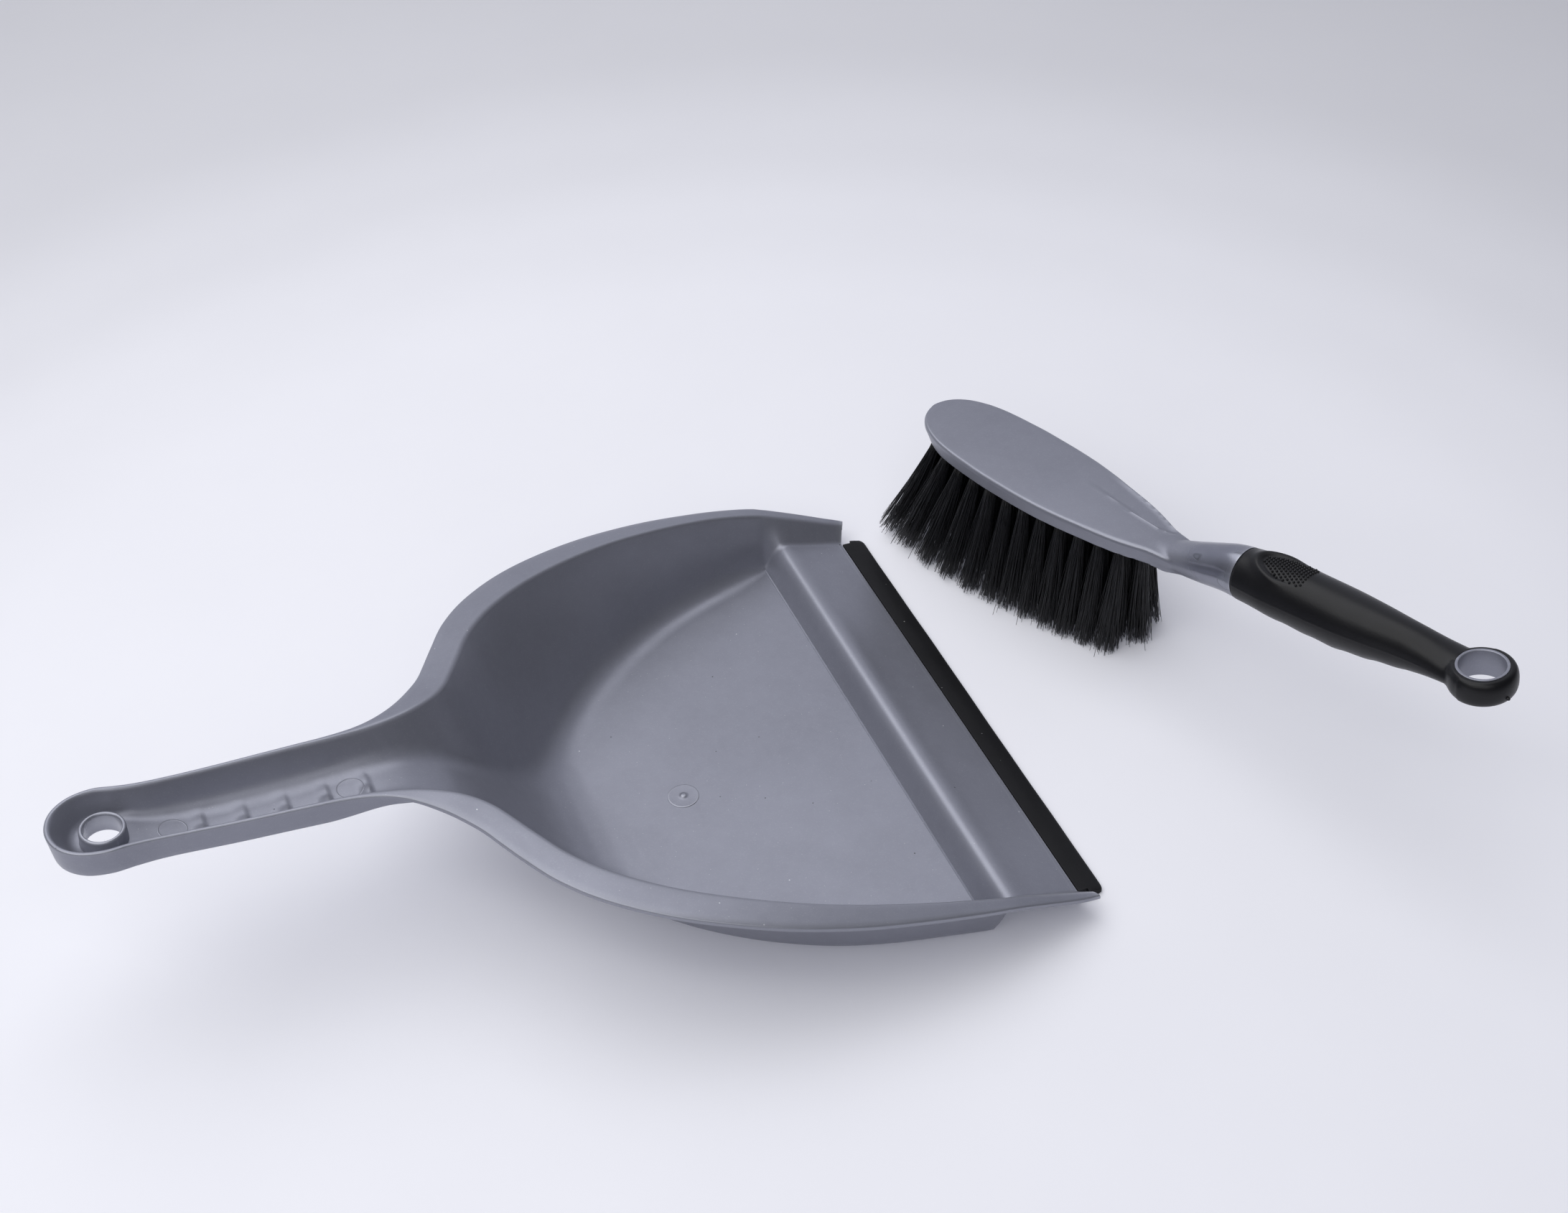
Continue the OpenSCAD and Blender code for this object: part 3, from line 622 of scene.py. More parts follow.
# Grip: half-width, height above the axis and depth below it, by distance along the axis
GRIP_WIDTH = Curve([[14, 10.85], [20, 11.4], [30, 12.2], [45, 12.2], [60, 12.05], [75, 11],
                    [91, 9.4], [100, 9.1], [108, 9.4], [117, 10]])
GRIP_TOP = Curve([[14, 11.0], [20, 11.8], [30, 12.7], [38, 12.5], [45, 11.9], [60, 11.1],
                  [75, 10.2], [91, 9], [103, 7.3], [110, 6.2], [117, 5.3]])
GRIP_BOTTOM = Curve([[14, 10.5], [20, 10.5], [30, 11], [45, 11.8], [60, 12.5], [75, 11.2],
                     [91, 8.9], [103, 6.9], [110, 5.9], [117, 5]])
BUMP_START, BUMP_PITCH, BUMP_COUNT = 25.2, 13.9, 5  # finger bumps under the grip
# Thumb pad: where its round end begins, that end's length, half-width, depth and nub spacing
PAD_AT, PAD_LENGTH, PAD_HALF, PAD_DEPTH, NUB_PITCH = 36.0, 14.0, 7.4, 0.95, 1.55

# Rows of tufts: the share of the half-width each lies at
TUFT_ROWS = {"outer_left": 1, "inner_left": 0.5, "centre": 0, "inner_right": -0.5,
             "outer_right": -1}


def block_half(along):
    return HALF_WIDTH * PLAN(along)


def tuft_row(row):
    """(distance from the toe, y) of each tuft."""
    start, count = (8, 13) if row == 0 else (10.2, 12) if abs(row) < 1 else (12.5, 12)
    places = [start + 9.47 * k for k in range(count)]
    return [(along, row * (float(block_half(along)) - 5.2)) for along in places]


# ------------------------------------------------------------------ brush body
def toe_half(along):
    """Half-width with a round toe."""
    along = np.asarray(along, float)
    round_toe = np.sqrt(np.clip(TOE_SQUARE(np.clip(along, 0, 50)), 0.0001, None))
    return np.where(along < 38, round_toe, block_half(along))


def block_section(along):
    """Half outline (y, z) of the bristle block, from the top centre to the bottom centre."""
    half = float(toe_half(along))
    radius = min(1.35, half * 0.4)
    crown = 0.45 * min(1, half / 18)
    draft = min(1.3, 0.12 * half)
    out = []
    for t in np.linspace(0, 1, 16):
        y = (half - radius) * t
        out.append((y, crown * (1 - (y / half) ** 2)))
    z = out[-1][1] - radius
    for t in np.linspace(0, math.pi / 2, 7)[1:]:
        out.append((half - radius + radius * math.sin(t), z + radius * math.cos(t)))
    # Narrow land under the rim, then a small step in
    land = min(0.7, half * 0.1)
    step = min(0.22, half * 0.05)
    out += [(half - 0.03, z - land), (half - step * 0.8, z - land - 0.12),
            (half - step, z - land - 0.3)]
    z, half = z - land - 0.3, half - step
    low_radius = min(0.5, half * 0.2)
    for t in np.linspace(0, 1, 5)[1:]:
        out.append((half - draft * t, z + (BASE + low_radius - z) * t))
    flat = half - draft - low_radius
    for t in np.linspace(0, math.pi / 2, 4)[1:]:
        out.append((flat + low_radius * math.cos(t), BASE + low_radius - low_radius * math.sin(t)))
    for t in np.linspace(0, 1, 9)[1:]:
        out.append((flat * (1 - t), BASE))
    return np.array(out)


def closed(half):
    """Whole outline from its +Y half."""
    return np.concatenate([half, half[-2:0:-1] * [-1, 1]])


def ray_lengths(outline, centre, angles):
    """Distance from the centre along each angle to a closed outline."""
    ray_y, ray_z = np.cos(angles)[:, None], np.sin(angles)[:, None]
    start = outline - centre
    edge = np.roll(start, -1, 0) - start
    (start_y, start_z), (edge_y, edge_z) = start.T, edge.T
    cross = ray_y * edge_z - ray_z * edge_y
    cross = np.where(np.abs(cross) < 1e-12, 1e-12, cross)
    length = (start_y * edge_z - start_z * edge_y) / cross
    share = (start_y * ray_z - start_z * ray_y) / cross
    hit = (length > 0) & (share >= -1e-9) & (share <= 1 + 1e-9)
    longest = np.where(hit, length, -1).max(1)
    return np.where(longest < 0, 0.1, longest)  # a ray that hits nothing stays short


def smooth_max(a, b, blend):
    share = np.clip(0.5 + 0.5 * (a - b) / blend, 0, 1)
    return b * (1 - share) + a * share + blend * share * (1 - share)


def crease(along, outline):
    """Lower the top a little beyond the crease line, on the +Y side only."""
    window = float(ease(80, 104, along)) * (1 - float(ease(130, 138, along)))
    beyond = outline[:, 0] - float(CREASE(along))
    depth = 0.62 * ease(-0.2, 0.7, beyond) - 0.26 * np.exp(-((beyond + 0.4) / 0.5) ** 2)
    fade = np.clip((float(toe_half(along)) - 0.8 - outline[:, 0]) / 1.6, 0, 1)
    lowered = outline.copy()
    lowered[:, 1] -= np.where(outline[:, 1] > -0.3,
                              depth * window * np.where(beyond > 0, fade, 1), 0)
    return lowered


def block_ring(along):
    """Station of the block; near the toe its underside is set back."""
    outline = closed(block_section(along))
    down = np.clip((-2.0 - outline[:, 1]) / (-2.0 - BASE), 0, 1)
    return np.c_[along + 1.7 * down * (1 - ease(3, 26, along)), crease(along, outline)]


def neck_ring(along, block_angles):
    """Station of the neck: block and neck outlines, joined along rays from a moving centre."""
    count = len(block_angles)
    even = math.pi / 2 - np.arange(count) * 2 * math.pi / count
    shift = float(ease(124, 158, along))
    angles = block_angles * (1 - shift) + even * shift
    top, bottom = float(NECK_TOP(along)), float(NECK_BOTTOM(along))
    middle = (top + bottom) / 2
    # Past the heel the block's outline sinks into the neck
    block = block_section(along)
    block[block[:, 1] < -2.4, 1] += float(ease(131, 150, along)) * (bottom - BASE)
    block[:, 0] *= 1 - 0.6 * float(ease(137, 156, along))
    sink = float(ease(136, 156, along))
    block[:, 1] = block[:, 1] * (1 - sink) + (middle + (block[:, 1] - middle) * 0.4) * sink
    around = np.linspace(0, 2 * math.pi, 160, endpoint=False)
    neck = np.stack([float(NECK_WIDTH(along)) * np.cos(around),
                     middle + (top - bottom) / 2 * np.sin(around)], 1)

    centre = np.array([0, BASE / 2 * (1 - shift) + middle * shift])
    to_block = ray_lengths(closed(block), centre, angles)
    to_neck = ray_lengths(neck, centre, angles)
    blend = 0.2 + 1.5 * float(ease(122, 138, along))
    share = np.clip((along - 118) / 8, 0, 1)
    radius = to_block * (1 - share) + smooth_max(to_block, to_neck, blend) * share
    outline = np.stack([radius * np.cos(angles), centre[1] + radius * np.sin(angles)], 1)
    # Lean the stations until they stand square to the grip's axis
    lean = RISE * float(ease(146, 170, along))
    axis_z = AXIS_Z + RISE * (along - AXIS_X)
    return np.c_[along - lean * (outline[:, 1] - axis_z), crease(along, outline)]


def stem(start, end, gap=0):
    """Stepped round core inside the grip, along Z; gap widens it for the grip's bore."""
    wide, thin = 6 + gap, 4 + gap
    return lathe([(0.001, start), (wide, start), (wide, 89.5), (thin, 98), (thin, end),
                  (0.001, end)], 64)


def brush_body():
    toe = 14 * (1 - np.cos(np.linspace(0.02, math.pi / 2, 22)))
    rings = [block_ring(s) for s in (*toe, *np.arange(15.5, NECK_START, 1.3))]
    outline = closed(block_section(NECK_START))
    angles = np.unwrap(np.arctan2(outline[:, 1] - BASE / 2, outline[:, 0]))
    end = AXIS_X + GRIP_START / math.sqrt(1 + RISE**2) - 0.05
    for along in (*np.arange(NECK_START, 162, 0.9), *np.linspace(162, end, 14)):
        rings.append(neck_ring(along, angles))
    body = outward(make(*tube(rings), "brush_moulding"))
    add(body, place(stem(-3, RING_AT - 9.1), AXIS @ turn(90, "Y")))
    # Hard lining of the hanging ring
    lining = rounded([(8.5, -5.75), (9.7, -5.75), (9.7, 5.75), (8.5, 5.75)],
                     [0.5, 0.25, 0.25, 0.5], 6)
    add(body, place(lathe(lining, 128), AXIS @ move(RING_AT, 0, 0)))
    # Tuft holes
    cut(body, reduce(join, [place(cylinder(2.15, BASE - 3, BASE + 6, 20), move(along, y, 0))
                            for row in TUFT_ROWS.values() for along, y in tuft_row(row)]))
    place(body, TO_METRES @ BRUSH)
    return sharpen(body, 35)


# ------------------------------------------------------------------ grip
def pad_distance(along, y):
    """Distance to the thumb pad's outline, negative inside; it is open towards the ring."""
    ahead = np.where(along < PAD_AT, (PAD_AT - along) / PAD_LENGTH, 0)
    return (np.sqrt(ahead**2 + (y / PAD_HALF) ** 2) - 1) * PAD_HALF


def pad_fade(along):
    return 1 - float(ease(30, 47, along))


def finger_bump(along):
    """Depth of the bumps under the grip: slow to rise towards the ring, quick to fall."""
    place_in_row = (along - BUMP_START) / BUMP_PITCH
    if not 0 < place_in_row < BUMP_COUNT:
        return 0.0
    phase = place_in_row % 1
    wave = phase / 0.58 if phase < 0.58 else (1 - phase) / 0.42
    return 0.62 * math.sin(math.pi / 2 * wave) ** 2


def grip_ring(along):
    count = 168
    angles = -np.arange(count) * 2 * math.pi / count
    cos, sin = np.cos(angles), np.sin(angles)
    half = float(GRIP_WIDTH(along))
    height = np.where(sin > 0, float(GRIP_TOP(along)), float(GRIP_BOTTOM(along)))
    edge = 0.5 * (1 - math.sqrt(1 - max(0.0, GRIP_START + 1 - along) ** 2))
    y, z = (half - edge) * cos, (height - edge) * sin
    z = z - np.where(sin < 0, finger_bump(along) * sin**2, 0)
    # Thumb pad on the upper side: a recess with a raised rim
    away = pad_distance(along, y)
    recess = -PAD_DEPTH * (1 - ease(-0.9, 0.1, away)) * pad_fade(along)
    from_crest = away - 0.75
    rim = np.exp(-(np.where(away < 0.75, from_crest / 0.55, from_crest / 1.35) ** 2))
    rim = 0.75 * rim * (1 - float(ease(30, 40, along)))
    # Faint parting line on both sides
    line = 0.09 * np.exp(-((np.abs(np.sin(angles + 0.1)) * half / 0.3) ** 2))
    raised = np.where(sin > 0.15, recess + rim, 0)
    out = unit(np.stack([cos / half, sin / height], 1))
    y, z = y + raised * out[:, 0], z + raised * out[:, 1]
    return np.c_[np.full(count, along), y + line * out[:, 0], z + line * out[:, 1]]


def hanging_ring():
    def squarish(value):
        return math.copysign(abs(value) ** 0.85, value)

    outline = [(10.3 + 2.7 * squarish(math.cos(t)),
                (5.5 if t < math.pi else 5.1) * squarish(math.sin(t)))
               for t in np.linspace(0, 2 * math.pi, 48, endpoint=False)]
    return place(lathe(outline, 160), move(RING_AT, 0, 0))


def pad_nubs():
    nubs = []
    outline = [(0.001, -0.8), (0.5, -0.8), (0.5, 0.1), (0.45, 0.4), (0.275, 0.62), (0.001, 0.7)]
    for i in range(15):
        for j in range(-5, 6):
            along = PAD_AT - PAD_LENGTH + 2.3 + NUB_PITCH * i
            y = NUB_PITCH * (j + (0.5 if i % 2 else 0))
            if pad_distance(along, y) > -1.0 or along > 45.5 - 0.035 * y * y:
                continue
            half, height = float(GRIP_WIDTH(along)), float(GRIP_TOP(along))
            level = math.sqrt(1 - (y / half) ** 2)
            z = height * level - PAD_DEPTH * pad_fade(along)
            out = Vector((0, y / half**2, level / height)).normalized()
            tilt = Vector((0, 0, 1)).rotation_difference(out).to_matrix().to_4x4()
            nubs.append(place(lathe(outline, 10), move(along, y, z) @ tilt))
    return reduce(join, nubs)


def soften_ring_joint(sleeve):
    """Smooth the crease between the grip and its ring, outside the ring's eye."""
    with editing(sleeve) as mesh:
        for _ in range(26):
            near = [v for v in mesh.verts if 101 < v.co.x < 119.5
                    and (v.co.x - RING_AT) ** 2 + v.co.y**2 > 10.9**2]
            bmesh.ops.smooth_vert(mesh, verts=near, factor=0.5,
                                  use_axis_x=True, use_axis_y=True, use_axis_z=True)


def grip():
    start = GRIP_START + np.array([0, 0.12, 0.4, 0.9])
    rings = [grip_ring(along) for along in (*start, *np.arange(15.4, 117, 0.5))]
    sleeve = outward(make(*tube(rings), "grip"))
    add(sleeve, hanging_ring())
    soften_ring_joint(sleeve)
    add(sleeve, pad_nubs())
    cut(sleeve, place(stem(9, RING_AT - 7.5, gap=0.05), turn(90, "Y")))
    cut(sleeve, place(cylinder(9.75, -14, 14, 128), move(RING_AT, 0, 0)))
    # Small moulding nib at the end of the ring
    nib = lathe([(0.001, -1.2), (0.9, -1.2), (0.7, 0.5), (0.45, 0.9), (0.001, 1.0)], 12)
    add(sleeve, place(nib, move(RING_AT + 12.6, -2.6, -2.2) @ turn(90, "Y")))
    place(sleeve, TO_METRES @ BRUSH @ AXIS)
    return sharpen(sleeve, 42)


# ------------------------------------------------------------------ bristles
STRAND_SIDES, STRAND_STEPS = 4, 6
STRANDS = 176  # in each tuft
FLOOR_LEVEL = -59.9


def strand(rng, along, y, row):
    """Vertices of one filament that leaves its hole and leans towards the floor."""
    toe = 1 - float(ease(4, 62, along))
    heel = float(ease(98, 120, along))
    side = np.sign(y) * min(1, abs(y) / 8)
    lean_x = -17.0 * toe
    lean_y = row * (6.3 + 6.2 * (1 - float(ease(34, 84, along)))
                    - 1.4 * float(ease(104, 118, along)))
    angle, out = rng.uniform(0, 2 * math.pi), math.sqrt(rng.uniform())
    root_x, root_y = 1.85 * out * math.cos(angle), 1.85 * out * math.sin(angle)
    root = np.array([along + root_x, y + root_y, BASE + 1.5])
    spread = 5.0 * out + 0.8 * rng.normal()
    angle += rng.normal(0, 0.3)
    off = np.array([lean_x + spread * math.cos(angle) - root_x,
                    lean_y + spread * math.sin(angle) - root_y])
    # A few strays, more of them at the toe and the heel
    if rng.uniform() < 0.03 + 0.05 * heel + 0.10 * toe:
        off += rng.normal(0, 1.9, 2)
        off += np.array([-0.8 * toe + 4.5 * heel * rng.uniform(), 2.0 * side])
    off *= min(1.0, 24.5 / max(1e-6, float(np.linalg.norm(off))))
    # Lengths are nearly equal, so filaments that splay end above the floor
    length = 53.4 + 1.9 * toe * abs(row) + rng.normal(0, 0.9)
    if rng.uniform() < 0.06:
        length -= rng.uniform(1, 6)
    drop = math.sqrt(max(100.0, length**2 - off @ off * 1.15))
    tip_z = max(root[2] - drop, -59.85 + abs(rng.normal(0, 0.35)))
    bow = rng.normal(0, 0.55, 2)
    # Straight out of the hole, then leaning
    t = np.linspace(0, 1, STRAND_STEPS + 1)
    lean = t ** (1.0 + 0.28 * rng.uniform())
    path = np.stack([root[0] + off[0] * lean + bow[0] * np.sin(math.pi * t),
                     root[1] + off[1] * lean + bow[1] * np.sin(math.pi * t),
                     root[2] + (tip_z - root[2]) * t], 1)
    radius = (0.145 * (1 - 0.3 * t**6))[:, None, None]
    tangent = unit(np.gradient(path, axis=0))
    across = unit(np.cross(tangent, [0.31, 0.95, 0.0]))
    over = np.cross(tangent, across)
    turns = np.arange(STRAND_SIDES) * 2 * math.pi / STRAND_SIDES + rng.uniform(0, 6)
    turns = turns[None, :, None]
    ring = path[:, None] + radius * (across[:, None] * np.cos(turns) + over[:, None] * np.sin(turns))
    return ring.reshape(-1, 3)


def strand_faces(base):
    n = STRAND_SIDES
    faces = [(base + i * n + j, base + (i + 1) * n + j,
              base + (i + 1) * n + (j + 1) % n, base + i * n + (j + 1) % n)
             for i in range(STRAND_STEPS) for j in range(n)]
    faces.append(tuple(base + j for j in range(n)))
    faces.append(tuple(base + STRAND_STEPS * n + j for j in range(n - 1, -1, -1)))
    return faces


def bristles(name, row, seed):
    """One row of tufts, each a bundle of separate filaments."""
    rng = np.random.RandomState(seed)
    strands = [strand(rng, along, y, row) for along, y in tuft_row(row) for _ in range(STRANDS)]
    verts = np.concatenate(strands)
    verts[:, 2] = np.maximum(verts[:, 2], FLOOR_LEVEL)
    faces = [face for k in range(len(strands)) for face in strand_faces(k * len(strands[0]))]
    return place(make(verts, faces, name), TO_METRES @ BRUSH)


# ------------------------------------------------------------------ materials
class Material:
    """Builds a node tree in object coordinates (metres) around a Principled shader."""

    def __init__(self, name):
        self.data = bpy.data.materials.new(name)
        self.data.use_nodes = True
        self.tree = self.data.node_tree
        self.tree.nodes.clear()
        output = self.tree.nodes.new("ShaderNodeOutputMaterial")
        self.shader = self.tree.nodes.new("ShaderNodeBsdfPrincipled")
        self.tree.links.new(self.shader.outputs[0], output.inputs[0])
        self.coords = self.node("ShaderNodeTexCoord").outputs["Object"]

    @cached_property
    def geometry(self):
        return self.node("ShaderNodeNewGeometry").outputs

    def set(self, socket, value):
        if isinstance(value, bpy.types.NodeSocket):
            self.tree.links.new(value, socket)
        elif isinstance(value, tuple) and len(value) == 3 and len(socket.default_value) == 4:
            socket.default_value = (*value, 1)
        else:
            socket.default_value = value

    def surface(self, inputs):
        for key, value in inputs.items():
            self.set(self.shader.inputs[key], value)

    def node(self, kind, inputs=None, **settings):
        node = self.tree.nodes.new(kind)
        for key, value in settings.items():
            setattr(node, key, value)
        for key, value in (inputs or {}).items():
            self.set(node.inputs[key], value)
        return node

    def noise(self, scale, detail, roughness=0.5, vector=None, distortion=0.0):
        return self.node("ShaderNodeTexNoise", {
            "Vector": vector or self.coords, "Scale": scale, "Detail": detail,
            "Roughness": roughness, "Distortion": distortion}).outputs["Fac"]

    def mapped(self, scale=(1, 1, 1), rotation=(0, 0, 0), location=(0, 0, 0)):
        return self.node("ShaderNodeMapping", {
            "Vector": self.coords, "Scale": scale, "Rotation": rotation,
            "Location": location}).outputs[0]

    def cells(self, scale, vector=None):
        return self.node("ShaderNodeTexVoronoi",
                         {"Vector": vector or self.coords, "Scale": scale}).outputs

    def channel(self, color, number):
        return self.node("ShaderNodeSeparateColor", {"Color": color}).outputs[number]

    def specks(self, scale, radius, channel, above, vector=None):
        """Round dots in those cells whose random channel is above a limit."""
        cells = self.cells(scale, vector)
        pick = self.channel(cells["Color"], channel)
        dots = self.math("LESS_THAN", cells["Distance"], radius)
        return self.times(dots, self.math("GREATER_THAN", pick, above))

    def split(self, vector):
        return self.node("ShaderNodeSeparateXYZ", {"Vector": vector}).outputs

    def mix(self, factor, under, over, mode="MIX"):
        return self.node("ShaderNodeMix", {0: factor, 6: under, 7: over},
                         data_type="RGBA", blend_type=mode).outputs[2]

    def math(self, operation, first, second=0.0, clamp=False):
        return self.node("ShaderNodeMath", {0: first, 1: second},
                         operation=operation, use_clamp=clamp).outputs[0]

    def times(self, value, by, clamp=False):
        return self.math("MULTIPLY", value, by, clamp)

    def remap(self, value, span, to=(0, 1)):
        return self.node("ShaderNodeMapRange", {
            "Value": value, "From Min": span[0], "From Max": span[1],
            "To Min": to[0], "To Max": to[1]}).outputs[0]

    def bump(self, height, strength, distance, normal=None):
        inputs = {"Height": height, "Strength": strength, "Distance": distance}
        if normal is not None:
            inputs["Normal"] = normal
        return self.node("ShaderNodeBump", inputs).outputs[0]


PAN_GREY = (0.255, 0.262, 0.311)


def grey(strength):
    return tuple(part * strength for part in PAN_GREY)


def handling_marks(mat):
    """Light scratches in two directions."""
    both = []
    for angle, seed in ((0.5, 3.1), (-0.9, 7.7)):
        vector = mat.mapped(scale=(30, 900, 30), rotation=(0, 0, angle), location=(seed, seed, 0))
        lines = mat.remap(mat.noise(scale=1.0, detail=2, vector=vector), span=(0.69, 0.76))
        patches = mat.noise(scale=9, detail=1, vector=mat.mapped(location=(seed, 2, 1)))
        both.append(mat.times(lines, mat.remap(patches, span=(0.52, 0.66)), clamp=True))
    return mat.math("ADD", *both, clamp=True)


def polypropylene(name):
    """Satin grey moulding; its colour, roughness and normal are left open for later layers."""
    mat = Material(name)
    cloud = mat.noise(scale=14, detail=3, roughness=0.55)
    color = mat.mix(mat.remap(cloud, span=(0.3, 0.7)), grey(0.93), over=grey(1.06))
    grain = mat.noise(scale=260, detail=4, roughness=0.6)
    color = mat.mix(mat.remap(grain, span=(0.35, 0.65), to=(0, 0.22)), color, over=grey(1.18))
    # Pearl flakes, far below a millimetre
    flakes = mat.channel(mat.cells(scale=2600.0)["Color"], 0)
    flakes = mat.remap(flakes, span=(0.86, 1.0), to=(0, 0.12))
    color = mat.mix(flakes, color, over=(0.46, 0.48, 0.52))
    # Worn, slightly polished outer corners; their lighter colour is partly a painted edge highlight
    edge_wear_and_highlight = mat.remap(mat.geometry["Pointiness"], span=(0.505, 0.56), to=(0, 0.6))
    color = mat.mix(edge_wear_and_highlight, color, over=(0.42, 0.43, 0.48))
    blotches = mat.noise(scale=38, detail=4, roughness=0.6)
    rough = mat.remap(blotches, span=(0.3, 0.7), to=(0.33, 0.42))
    rough = mat.math("SUBTRACT", rough, mat.times(edge_wear_and_highlight, by=0.15))
    marks = handling_marks(mat)
    mat.rough = mat.math("ADD", rough, mat.times(marks, by=0.12), clamp=True)
    mat.color = mat.mix(mat.times(marks, by=0.10), color, over=(0.42, 0.43, 0.46))
    # Fine grain, then orange peel
    fine = mat.times(mat.noise(scale=1500, detail=2), by=0.5)
    normal = mat.bump(fine, strength=0.10, distance=0.0002)
    peel = mat.noise(scale=55, detail=2)
    mat.normal = mat.bump(peel, strength=0.06, distance=0.002, normal=normal)
    mat.metallic = 0.5
    return mat


def finish_plastic(mat):
    mat.surface({"Base Color": mat.color, "Roughness": mat.rough, "Normal": mat.normal,
                 "Metallic": mat.metallic, "Specular IOR Level": 0.45})
    return mat.data


def add_ejector_marks(mat, centres, radius):
    """Round marks, each a hairline ring."""
    x, y, _ = mat.split(mat.coords)
    for centre in centres:
        off_x = mat.math("SUBTRACT", x, centre[0])
        off_y = mat.math("SUBTRACT", y, centre[1])
        square = mat.math("ADD", mat.times(off_x, off_x), mat.times(off_y, off_y))
        away = mat.math("SUBTRACT", mat.math("SQRT", square), radius)
        line = mat.remap(mat.math("ABSOLUTE", away), span=(0.0, 0.00028), to=(1, 0))
        mat.normal = mat.bump(line, strength=0.55, distance=0.0002, normal=mat.normal)
        mat.color = mat.mix(mat.times(line, by=0.22, clamp=True), mat.color,
                            over=(0.36, 0.37, 0.40))


def add_dust(mat):
    """Pale and dark specks on faces that look up."""
    upward = mat.remap(mat.split(mat.geometry["Normal"])[2], span=(0.75, 0.95))
    # Scale, speck radius, colour, texture offset
    for scale, radius, tone, offset in (
            (150.0, 0.045, (0.62, 0.62, 0.66), 0),
            (120.0, 0.038, (0.045, 0.045, 0.05), 3.3),
            (420.0, 0.07, (0.5, 0.5, 0.54), 1.7)):
        vector = mat.mapped(location=(offset, offset, 0))
        specks = mat.specks(scale, radius, channel=1, above=0.72, vector=vector)
        specks = mat.times(specks, upward, clamp=True)
        mat.color = mat.mix(mat.times(specks, by=0.8), mat.color, over=tone)


def add_flow_lines(mat, centre, radius):
    """Swirled weld lines and a more metallic pearl around a point."""
    near = mat.node("ShaderNodeVectorMath", {0: mat.coords, 1: tuple(centre)},
                    operation="DISTANCE").outputs["Value"]
    here = mat.remap(near, span=(radius * 0.55, radius), to=(1, 0))
    swirl = mat.noise(scale=40, detail=1, roughness=0.4, distortion=2.2)
    middle = mat.math("ABSOLUTE", mat.math("SUBTRACT", swirl, 0.5))
    band = mat.times(mat.remap(middle, span=(0.0, 0.018), to=(1, 0)), here, clamp=True)
    pearl = mat.times(mat.remap(swirl, span=(0.42, 0.62)), here, clamp=True)
    mat.color = mat.mix(mat.times(pearl, by=0.45), mat.color, over=(0.40, 0.42, 0.46))
    mat.color = mat.mix(mat.times(band, by=0.6), mat.color, over=(0.11, 0.12, 0.14))
    mat.metallic = mat.math("ADD", mat.metallic, mat.times(here, by=0.3))
    mat.rough = mat.math("SUBTRACT", mat.rough, mat.times(here, by=0.14))
    mat.normal = mat.bump(band, strength=0.25, distance=0.0003, normal=mat.normal)


def pan_plastic():
    mat = polypropylene("grey_polypropylene_pan")
    add_ejector_marks(mat, [world((x, 0, 0)) for x in (-320, -255.5)], radius=0.005)
    add_dust(mat)
    return finish_plastic(mat)


def brush_plastic():
    mat = polypropylene("grey_polypropylene_brush")
    neck_end = BRUSH @ Vector((161, -3, 9))
    add_flow_lines(mat, world(neck_end), radius=0.018)
    return finish_plastic(mat)


def rubber(name, dark, light, rough, specular, lint=0.0):
    """Black rubber with fine grain and, where asked for, a little lint."""
    mat = Material(name)
    tone = mat.noise(scale=22, detail=4, roughness=0.6)
    color = mat.mix(mat.remap(tone, span=(0.3, 0.7)), dark, over=light)
    # Lighter convex edges: partly wear, partly a painted edge highlight
    edge_wear_and_highlight = mat.remap(mat.geometry["Pointiness"], span=(0.51, 0.57), to=(0, 0.35))
    color = mat.mix(edge_wear_and_highlight, color, over=tuple(part * 2.2 + 0.01 for part in light))
    blotches = mat.noise(scale=46, detail=5, roughness=0.6)
    grain = mat.noise(scale=1200.0, detail=3, roughness=0.6)
    normal = mat.bump(grain, strength=0.16, distance=0.0002)
    waves = mat.noise(scale=70, detail=2)
    normal = mat.bump(waves, strength=0.08, distance=0.001, normal=normal)
    if lint:
        specks = mat.specks(scale=330.0, radius=0.09, channel=0, above=0.82)
        color = mat.mix(mat.times(specks, by=lint), color, over=(0.42, 0.42, 0.42))
    mat.surface({"Base Color": color, "Normal": normal, "Specular IOR Level": specular,
                 "Roughness": mat.remap(blotches, span=(0.3, 0.7), to=rough)})
    return mat.data


def filament():
    mat = Material("bristle_filament")
    streaks = mat.mapped(scale=(900, 900, 25))
    tone = mat.noise(scale=1.0, detail=2, vector=streaks)
    color = mat.mix(mat.remap(tone, span=(0.35, 0.65)), (0.002, 0.002, 0.003),
                    over=(0.010, 0.011, 0.014))
    relief = mat.noise(scale=1.0, detail=1, vector=streaks)
    mat.surface({"Base Color": color, "Specular IOR Level": 0.5,
                 "Roughness": mat.remap(tone, span=(0.3, 0.7), to=(0.32, 0.48)),
                 "Normal": mat.bump(relief, strength=0.1, distance=0.0001)})
    return mat.data


def anchor_steel():
    mat = Material("anchor_steel")
    tone = mat.noise(scale=1.0, detail=3, roughness=0.6, vector=mat.mapped(scale=(400, 4000, 400)))
    color = mat.mix(mat.remap(tone, span=(0.3, 0.7)), (0.42, 0.42, 0.41), over=(0.66, 0.65, 0.62))
    mat.surface({"Base Color": color, "Metallic": 1.0,
                 "Roughness": mat.remap(tone, span=(0.3, 0.7), to=(0.25, 0.45)),
                 "Normal": mat.bump(tone, strength=0.15, distance=0.0001)})
    return mat.data


def use(obj, material):
    obj.data.materials.clear()
    obj.data.materials.append(material)


